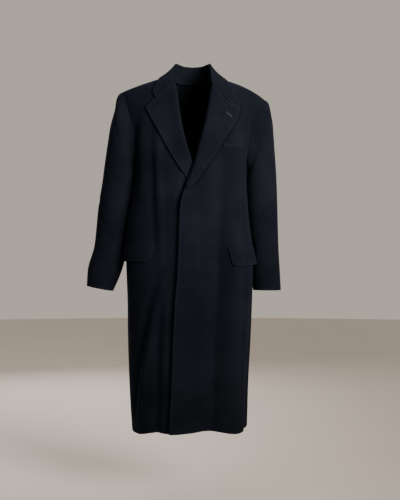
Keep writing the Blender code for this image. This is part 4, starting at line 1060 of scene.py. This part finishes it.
def melton(name):
    """Melton: milled woollen cloth with a short raised nap that hides the weave.

    It gives the eye a deep matt colour, a soft mottle from fibres of nearly the same shade, and
    a pale bloom where the nap is seen edge on.
    """
    colour = settings().wool
    material, tree, shader = surface_material(
        name, Roughness=0.92, Specular_IOR_Level=0.02, Sheen_Weight=settings().nap, Sheen_Roughness=0.48,
        Sheen_Tint=(*linear("#7f8fb8"), 1.0))
    place = node(tree, "ShaderNodeTexCoord")
    # UV is in metres along and across the cloth; the nap lies downwards, so its marks are long
    brushed = node(tree, "ShaderNodeMapping", links={"Vector": place.outputs["UV"]},
                   Scale=(1.0, NAP_LAY, 1.0))
    tufts = node(tree, "ShaderNodeTexNoise", links={"Vector": brushed.outputs["Vector"]},
                 Scale=NAP_TUFTS, Detail=3.0, Roughness=0.62)
    fibres = node(tree, "ShaderNodeTexNoise", links={"Vector": brushed.outputs["Vector"]},
                  Scale=NAP_FIBRES, Detail=2.0, Roughness=0.70)
    clouds = node(tree, "ShaderNodeTexNoise", links={"Vector": place.outputs["Object"]},
                  Scale=NAP_CLOUDS, Detail=2.0, Roughness=0.5)
    mottle = node(tree, "ShaderNodeValToRGB", links={"Fac": tufts.outputs["Fac"]})
    dark, pale = toned(colour, TUFT_DARK), toned(colour, *TUFT_PALE)
    ramp_stops(mottle, ((0.30, dark), (0.52, colour), (0.76, pale)))
    worn = node(tree, "ShaderNodeValToRGB", links={"Fac": clouds.outputs["Fac"]})
    ramp_stops(worn, ((0.35, CLOUD_DARK), (0.65, CLOUD_PALE)))
    shaded = node(tree, "ShaderNodeMix", (("data_type", "RGBA"), ("blend_type", "MULTIPLY")),
                  {"A": mottle.outputs["Color"], "B": worn.outputs["Color"]}, Factor=1.0)
    # Cut edges are painted paler: partly the pressed nap's wear, partly a painted highlight where the edges
    # catch the light
    edge_wear_and_highlight = node(tree, "ShaderNodeAttribute", (("attribute_name", "edge_wear_and_highlight"),))
    edged = node(tree, "ShaderNodeMix", (("data_type", "RGBA"),),
                 {"Factor": edge_wear_and_highlight.outputs["Fac"], "A": shaded.outputs["Result"]},
                 B=(*toned(colour, EDGE_WEAR_AND_HIGHLIGHT_PALE), 1.0))
    soft = node(tree, "ShaderNodeBump", links={"Height": tufts.outputs["Fac"]},
                Strength=0.55, Distance=NAP_HEIGHT)
    fine = node(tree, "ShaderNodeBump",
                links={"Height": fibres.outputs["Fac"], "Normal": soft.outputs["Normal"]},
                Strength=0.35, Distance=NAP_HEIGHT * 0.5)
    tree.links.new(edged.outputs["Result"], shader.inputs["Base Color"])
    tree.links.new(fine.outputs["Normal"], shader.inputs["Normal"])
    return material


def thread(name, colour):
    """Spun sewing thread: finer, smoother and brighter than the cloth, with a faint twist."""
    material, tree, shader = surface_material(name, Roughness=0.70, Specular_IOR_Level=0.15)
    place = node(tree, "ShaderNodeTexCoord")
    twist = node(tree, "ShaderNodeTexNoise", links={"Vector": place.outputs["Object"]},
                 Scale=THREAD_TWIST, Detail=1.0)
    shade = node(tree, "ShaderNodeValToRGB", links={"Fac": twist.outputs["Fac"]})
    ramp_stops(shade, ((0.35, toned(colour, THREAD_DARK)), (0.65, toned(colour, THREAD_PALE))))
    tree.links.new(shade.outputs["Color"], shader.inputs["Base Color"])
    return material


def floor_paint(name):
    """Matt emulsion paint, rolled on: even and dull, with a faint change of shade."""
    material, tree, shader = surface_material(name, Roughness=0.95)
    colour = tuple(settings().floor)
    place = node(tree, "ShaderNodeTexCoord")
    rolled = node(tree, "ShaderNodeTexNoise", links={"Vector": place.outputs["Object"]},
                  Scale=FLOOR_CLOUDS, Detail=3.0)
    shade = node(tree, "ShaderNodeValToRGB", links={"Fac": rolled.outputs["Fac"]})
    ramp_stops(shade, ((0.3, toned(colour, FLOOR_DARK)), (0.7, colour)))
    tree.links.new(shade.outputs["Color"], shader.inputs["Base Color"])
    return material


def add_object(name, data):
    """Object in the scene, at the origin."""
    made = bpy.data.objects.new(name, data)
    bpy.context.scene.collection.objects.link(made)
    return made


def finish_mesh(bm, name, material):
    """Smooth mesh of one material, made from a bmesh."""
    mesh = bpy.data.meshes.new(name)
    bm.to_mesh(mesh)
    bm.free()
    mesh.shade_smooth()
    mesh.materials.append(material)
    return mesh


def facing(place, across, down):
    """Direction across a piece's cloth, from points a small share of the piece to either side."""
    sideways = place(across + CLOTH_NUDGE, down) - place(across - CLOTH_NUDGE, down)
    downwards = place(across, down + CLOTH_NUDGE) - place(across, down - CLOTH_NUDGE)
    return unit(np.cross(downwards, sideways))


def cloth_piece(name, place, material, step=CLOTH_STEP, rim_sides="lrtb"):
    """A piece of cloth: a flat slab of cloth, bent to its place at its real thickness."""
    cut = PIECES[name]
    bm = bmesh.new()
    bmesh.ops.create_grid(bm, x_segments=max(FEWEST_COLUMNS, round(cut.width / step)),
                          y_segments=max(FEWEST_ROWS, round(cut.length / step)), size=0.5)
    bmesh.ops.solidify(bm, geom=bm.faces[:], thickness=1.0)
    bm.verts.index_update()
    flat = np.array([vertex.co for vertex in bm.verts])
    across, down = flat[:, 0] + 0.5, 0.5 - flat[:, 1]
    layer = np.sign(flat[:, 2] - flat[:, 2].mean())
    points = place(across, down) + facing(place, across, down) * (layer * WALL / 2.0)[:, None]
    for vertex, point in zip(bm.verts, points):
        vertex.co = point
    bmesh.ops.recalc_face_normals(bm, faces=bm.faces[:])
    mesh = finish_mesh(bm, name, material)

    corners = np.empty(len(mesh.loops), dtype=np.int32)
    mesh.loops.foreach_get("vertex_index", corners)
    metric = np.stack([across * cut.width, (1.0 - down) * cut.length], axis=-1)
    mesh.uv_layers.new(name="cloth").data.foreach_set("uv", metric[corners].ravel())
    # Mask of the paler cut edges: partly wear of the pressed nap, partly a painted highlight of lit edges
    from_side = {"l": across * cut.width, "r": (1.0 - across) * cut.width,
                 "t": down * cut.length, "b": (1.0 - down) * cut.length}
    near = np.min([np.ones(len(across)), *(from_side[side] for side in rim_sides)], axis=0)
    edge_wear_and_highlight = mesh.attributes.new("edge_wear_and_highlight", "FLOAT", "POINT")
    edge_wear_and_highlight.data.foreach_set("value", RIM_STRENGTH * hump(near / RIM_WIDTH))

    piece = add_object(name + "_cloth", mesh)
    rounded = piece.modifiers.new("rounded edge", "BEVEL")
    rounded.width = WALL * EDGE_ROUNDING
    rounded.segments = 3
    rounded.limit_method = "ANGLE"
    rounded.angle_limit = radians(60)
    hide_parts(name)
    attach(piece, "root")


def grain(bm, middle, axes, half_sizes, segments):
    """One stitch: a rounded grain of thread with its half sizes along three axes."""
    turn = Matrix(axes).transposed().to_4x4()
    size = Matrix.Diagonal((*half_sizes, 1.0))
    bmesh.ops.create_uvsphere(bm, u_segments=segments[0], v_segments=segments[1], radius=1.0,
                              matrix=Matrix.Translation(middle) @ turn @ size)


def sew(bm, points, normals, length, gap, width):
    """Row of stitches along a line of points, each sunk a little into the cloth."""
    far = np.concatenate([[0.0], np.cumsum(np.linalg.norm(np.diff(points, axis=0), axis=1))])

    def read(values, at):
        return Vector([np.interp(at, far, values[:, k]) for k in range(3)])

    start = gap
    while start + length < far[-1]:
        first, last = read(points, start), read(points, start + length)
        up = read(normals, start + length / 2.0).normalized()
        along = (last - first).normalized()
        middle = (first + last) / 2.0 - up * width * STITCH_SUNK
        axes = (along, up.cross(along).normalized(), up)
        grain(bm, middle, axes, (length / 2.0, width / 2.0, width / 2.0), (6, 4))
        start += length + gap


def surface_line(place, across, down):
    """Points and outward directions along a line on the face of a piece's cloth."""
    normal = facing(place, across, down)
    points = place(across, down)
    normal = normal * np.sign((normal * points * (1.0, 1.0, 0.0)).sum(axis=-1, keepdims=True))
    return points + normal * (WALL / 2.0), normal


def front_line(x, z, lift):
    """The same along a line on the front, seen at x and height z and moved out by lift."""
    level = level_at(x, z)
    angle = angle_at(x, level)
    round_body = body_wall(angle + FRONT_NUDGE, level) - body_wall(angle - FRONT_NUDGE, level)
    down_body = body_wall(angle, level + FRONT_NUDGE) - body_wall(angle, level - FRONT_NUDGE)
    points = body_wall(angle, level, WALL / 2.0 + lift + edge_roll(x, level))
    return points, unit(np.cross(down_body, round_body))


def finish_sewing(bm, name, material):
    """Object of stitches, riding on the coat."""
    piece = add_object(name, finish_mesh(bm, name, material))
    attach(piece, "root")


def fly_line():
    """Line of stitches that closes the fly, turning in to the front edge at its foot."""
    steps = np.linspace(0.0, 1.0, FLY_POINTS)
    share = np.linspace(0.0, 1.0, len(FLY_LINE))
    return [through(share, values, steps) for values in np.transpose(FLY_LINE)]


def edge_rows():
    """Lines along the pieces' free edges, as a piece's place function and its shares."""
    steps = np.linspace(0.0, 1.0, EDGE_POINTS)
    even = np.ones_like(steps)
    rows = []
    for side in (+1, -1):
        lapel, cut = lapel_piece(side), PIECES["lapel_left"]
        width = cut.width * (LAPEL_FOOT_WIDTH + (1.0 - LAPEL_FOOT_WIDTH) * (1.0 - steps))
        inset = np.clip(EDGE_INSET / width, 0.0, LAPEL_INSET_MOST)
        rows.append((lapel, 1.0 - inset, LAPEL_ROW[0] + LAPEL_ROW[1] * steps))
        flap, cut = flap_piece(side), PIECES["pocket_flap_left"]
        inset = EDGE_INSET / cut.width
        rows.append((flap, inset + (1.0 - 2.0 * inset) * steps, even * (1.0 - EDGE_INSET / cut.length)))
        rows.append((flap, even * inset, FLAP_ROW[0] + (FLAP_ROW[1] - EDGE_INSET / cut.length) * steps))
    inset = EDGE_INSET / PIECES["front_left"].width
    rows.append((front_panel(+1), even * inset, FRONT_ROW[0] + FRONT_ROW[1] * steps))
    cut = PIECES["collar_fall"]
    inset = EDGE_INSET / cut.width
    rows.append((collar_fall, inset + (1.0 - 2.0 * inset) * steps,
                 even * (1.0 - EDGE_INSET / cut.length * COLLAR_INSET)))
    return rows


def buttonhole():
    """Worked slit: purl stitches side by side along both lips."""
    bm = bmesh.new()
    steps = np.linspace(0.0, 1.0, PURLS)
    x, z = [between(BUTTONHOLE[0][k], BUTTONHOLE[1][k], steps) for k in (0, 1)]
    points, normals = front_line(x, z, PLY + LAPEL_EDGE_LIFT[+1] * BUTTONHOLE_SHARE)
    along = Vector(points[-1] - points[0]).normalized()
    for point, normal in zip(points, normals):
        up = Vector(normal)
        aside = up.cross(along).normalized()
        for way in (+1, -1):
            axes = (aside * way, up.cross(aside * way), up)
            grain(bm, Vector(point) + aside * way * BUTTONHOLE_HALF, axes, PURL_HALF_SIZES, (8, 5))
    return bm


def studio():
    """Floor, lights and camera."""
    bm = bmesh.new()
    bmesh.ops.create_circle(bm, cap_ends=True, radius=FLOOR_RADIUS, segments=96,
                            matrix=Matrix.Translation((0.0, 0.0, -settings().floor_level)))
    mesh = bpy.data.meshes.new("floor")
    bm.to_mesh(mesh)
    bm.free()
    mesh.materials.append(floor_paint("matt emulsion paint"))
    add_object("floor", mesh)

    world = bpy.data.worlds.new("pale studio")
    world.use_nodes = True
    sky = world.node_tree.nodes["Background"]
    sky.inputs["Color"].default_value = (*linear("#e3d8ca"), 1.0)
    sky.inputs["Strength"].default_value = WORLD_STRENGTH
    bpy.context.scene.world = world

    for lamp in LAMPS:
        light = bpy.data.lights.new(lamp.name, "AREA")
        light.shape = "RECTANGLE"
        light.size, light.size_y = lamp.width, lamp.height
        light.energy = lamp.power
        light.color = linear(lamp.colour)
        light.spread = radians(lamp.spread)
        stand = add_object(lamp.name, light)
        stand.location = lamp.place
        stand.rotation_euler = (Vector(lamp.aim) - Vector(lamp.place)).to_track_quat("-Z", "Y").to_euler()

    lens = bpy.data.cameras.new("camera")
    lens.lens = CAMERA_LENS
    lens.dof.use_dof = False
    camera = add_object("camera", lens)
    camera.location = CAMERA_PLACE
    camera.rotation_euler = (radians(90.0), 0.0, 0.0)
    bpy.context.scene.camera = camera


class OVERCOAT_OT_fronts(bpy.types.Operator):
    """Left front, worn on top, and right front below it"""

    bl_idname = "overcoat.fronts"
    bl_label = "Fronts"

    def execute(self, context):
        for side, word in SIDES:
            cloth = melton(f"melton wool front {word}")
            cloth_piece(f"front_{word}", front_panel(side), cloth, rim_sides="lb")
        return {"FINISHED"}


class OVERCOAT_OT_backs(bpy.types.Operator):
    """Two backs, joined in a centre seam"""

    bl_idname = "overcoat.backs"
    bl_label = "Backs"

    def execute(self, context):
        for side, word in SIDES:
            cloth = melton(f"melton wool back {word}")
            cloth_piece(f"back_{word}", back_panel(side), cloth, rim_sides="b")
        return {"FINISHED"}


class OVERCOAT_OT_sleeves(bpy.types.Operator):
    """Top and under sleeves, set into the armholes"""

    bl_idname = "overcoat.sleeves"
    bl_label = "Sleeves"

    def execute(self, context):
        for side, word in SIDES:
            cloth = melton(f"melton wool sleeve {word}")
            top = sleeve_piece(side, BACK_SLEEVE_SEAM - tau, FRONT_SLEEVE_SEAM)
            cloth_piece(f"sleeve_top_{word}", top, cloth, rim_sides="b")
            under = sleeve_piece(side, FRONT_SLEEVE_SEAM, BACK_SLEEVE_SEAM)
            cloth_piece(f"sleeve_under_{word}", under, cloth, rim_sides="b")
        return {"FINISHED"}


class OVERCOAT_OT_collar(bpy.types.Operator):
    """Collar's turned fall and the stand inside it"""

    bl_idname = "overcoat.collar"
    bl_label = "Collar"

    def execute(self, context):
        cloth = melton("melton wool collar")
        cloth_piece("collar_fall", collar_fall, cloth, FINE_STEP)
        cloth_piece("collar_stand", collar_stand, cloth, FINE_STEP, "")
        return {"FINISHED"}


class OVERCOAT_OT_lapels(bpy.types.Operator):
    """Turned lapels with a notch under the collar's ends"""

    bl_idname = "overcoat.lapels"
    bl_label = "Lapels"

    def execute(self, context):
        for side, word in SIDES:
            cloth = melton(f"melton wool lapel {word}")
            cloth_piece(f"lapel_{word}", lapel_piece(side), cloth, FINE_STEP, "rt")
        return {"FINISHED"}


class OVERCOAT_OT_pockets(bpy.types.Operator):
    """Hip pocket flaps and the breast pocket's welt"""

    bl_idname = "overcoat.pockets"
    bl_label = "Pockets"

    def execute(self, context):
        cloth = melton("melton wool pockets")
        for side, word in SIDES:
            cloth_piece(f"pocket_flap_{word}", flap_piece(side), cloth, FINE_STEP, "lrb")
        cloth_piece("breast_pocket_welt", welt_piece, cloth, FINE_STEP, "t")
        return {"FINISHED"}


class OVERCOAT_OT_sewing(bpy.types.Operator):
    """Edge stitches, the fly's stitch line and the lapel buttonhole"""

    bl_idname = "overcoat.sewing"
    bl_label = "Sewing"

    def execute(self, context):
        stitch = settings().stitch
        polyester = thread("polyester sewing thread", settings().sewing)
        fly = bmesh.new()
        sew(fly, *front_line(*fly_line(), 0.0), stitch, STITCH_GAP, STITCH_WIDTH)
        finish_sewing(fly, "fly_stitches", polyester)
        edges = bmesh.new()
        for row in edge_rows():
            sew(edges, *surface_line(*row), stitch * EDGE_STITCH, stitch, STITCH_WIDTH * EDGE_STITCH_WIDTH)
        finish_sewing(edges, "edge_stitches", polyester)
        silk = thread("silk buttonhole twist", settings().purl)
        finish_sewing(buttonhole(), "lapel_buttonhole", silk)
        return {"FINISHED"}


class OVERCOAT_OT_studio(bpy.types.Operator):
    """Plain pale floor, soft lights and the camera"""

    bl_idname = "overcoat.studio"
    bl_label = "Studio"

    def execute(self, context):
        studio()
        return {"FINISHED"}


class VIEW3D_PT_overcoat(bpy.types.Panel):
    """Builds the overcoat piece by piece"""

    bl_label = "Wool overcoat"
    bl_space_type = "VIEW_3D"
    bl_region_type = "UI"
    bl_category = "Overcoat"

    def draw(self, context):
        for name in OvercoatSettings.__annotations__:
            self.layout.prop(context.scene.overcoat, name)
        for operator in OPERATORS:
            self.layout.operator(operator.bl_idname)


OPERATORS = (OVERCOAT_OT_fronts, OVERCOAT_OT_backs, OVERCOAT_OT_sleeves, OVERCOAT_OT_collar,
             OVERCOAT_OT_lapels, OVERCOAT_OT_pockets, OVERCOAT_OT_sewing, OVERCOAT_OT_studio)
CLASSES = (OvercoatSettings, *OPERATORS, VIEW3D_PT_overcoat)


def register():
    for made in CLASSES:
        bpy.utils.register_class(made)
    bpy.types.Scene.overcoat = PointerProperty(type=OvercoatSettings)


def unregister():
    del bpy.types.Scene.overcoat
    for made in reversed(CLASSES):
        bpy.utils.unregister_class(made)


def main():
    register()
    bpy.ops.overcoat.fronts()
    bpy.ops.overcoat.backs()
    bpy.ops.overcoat.sleeves()
    bpy.ops.overcoat.collar()
    bpy.ops.overcoat.lapels()
    bpy.ops.overcoat.pockets()
    bpy.ops.overcoat.sewing()
    bpy.ops.overcoat.studio()


if __name__ == "__main__":
    main()
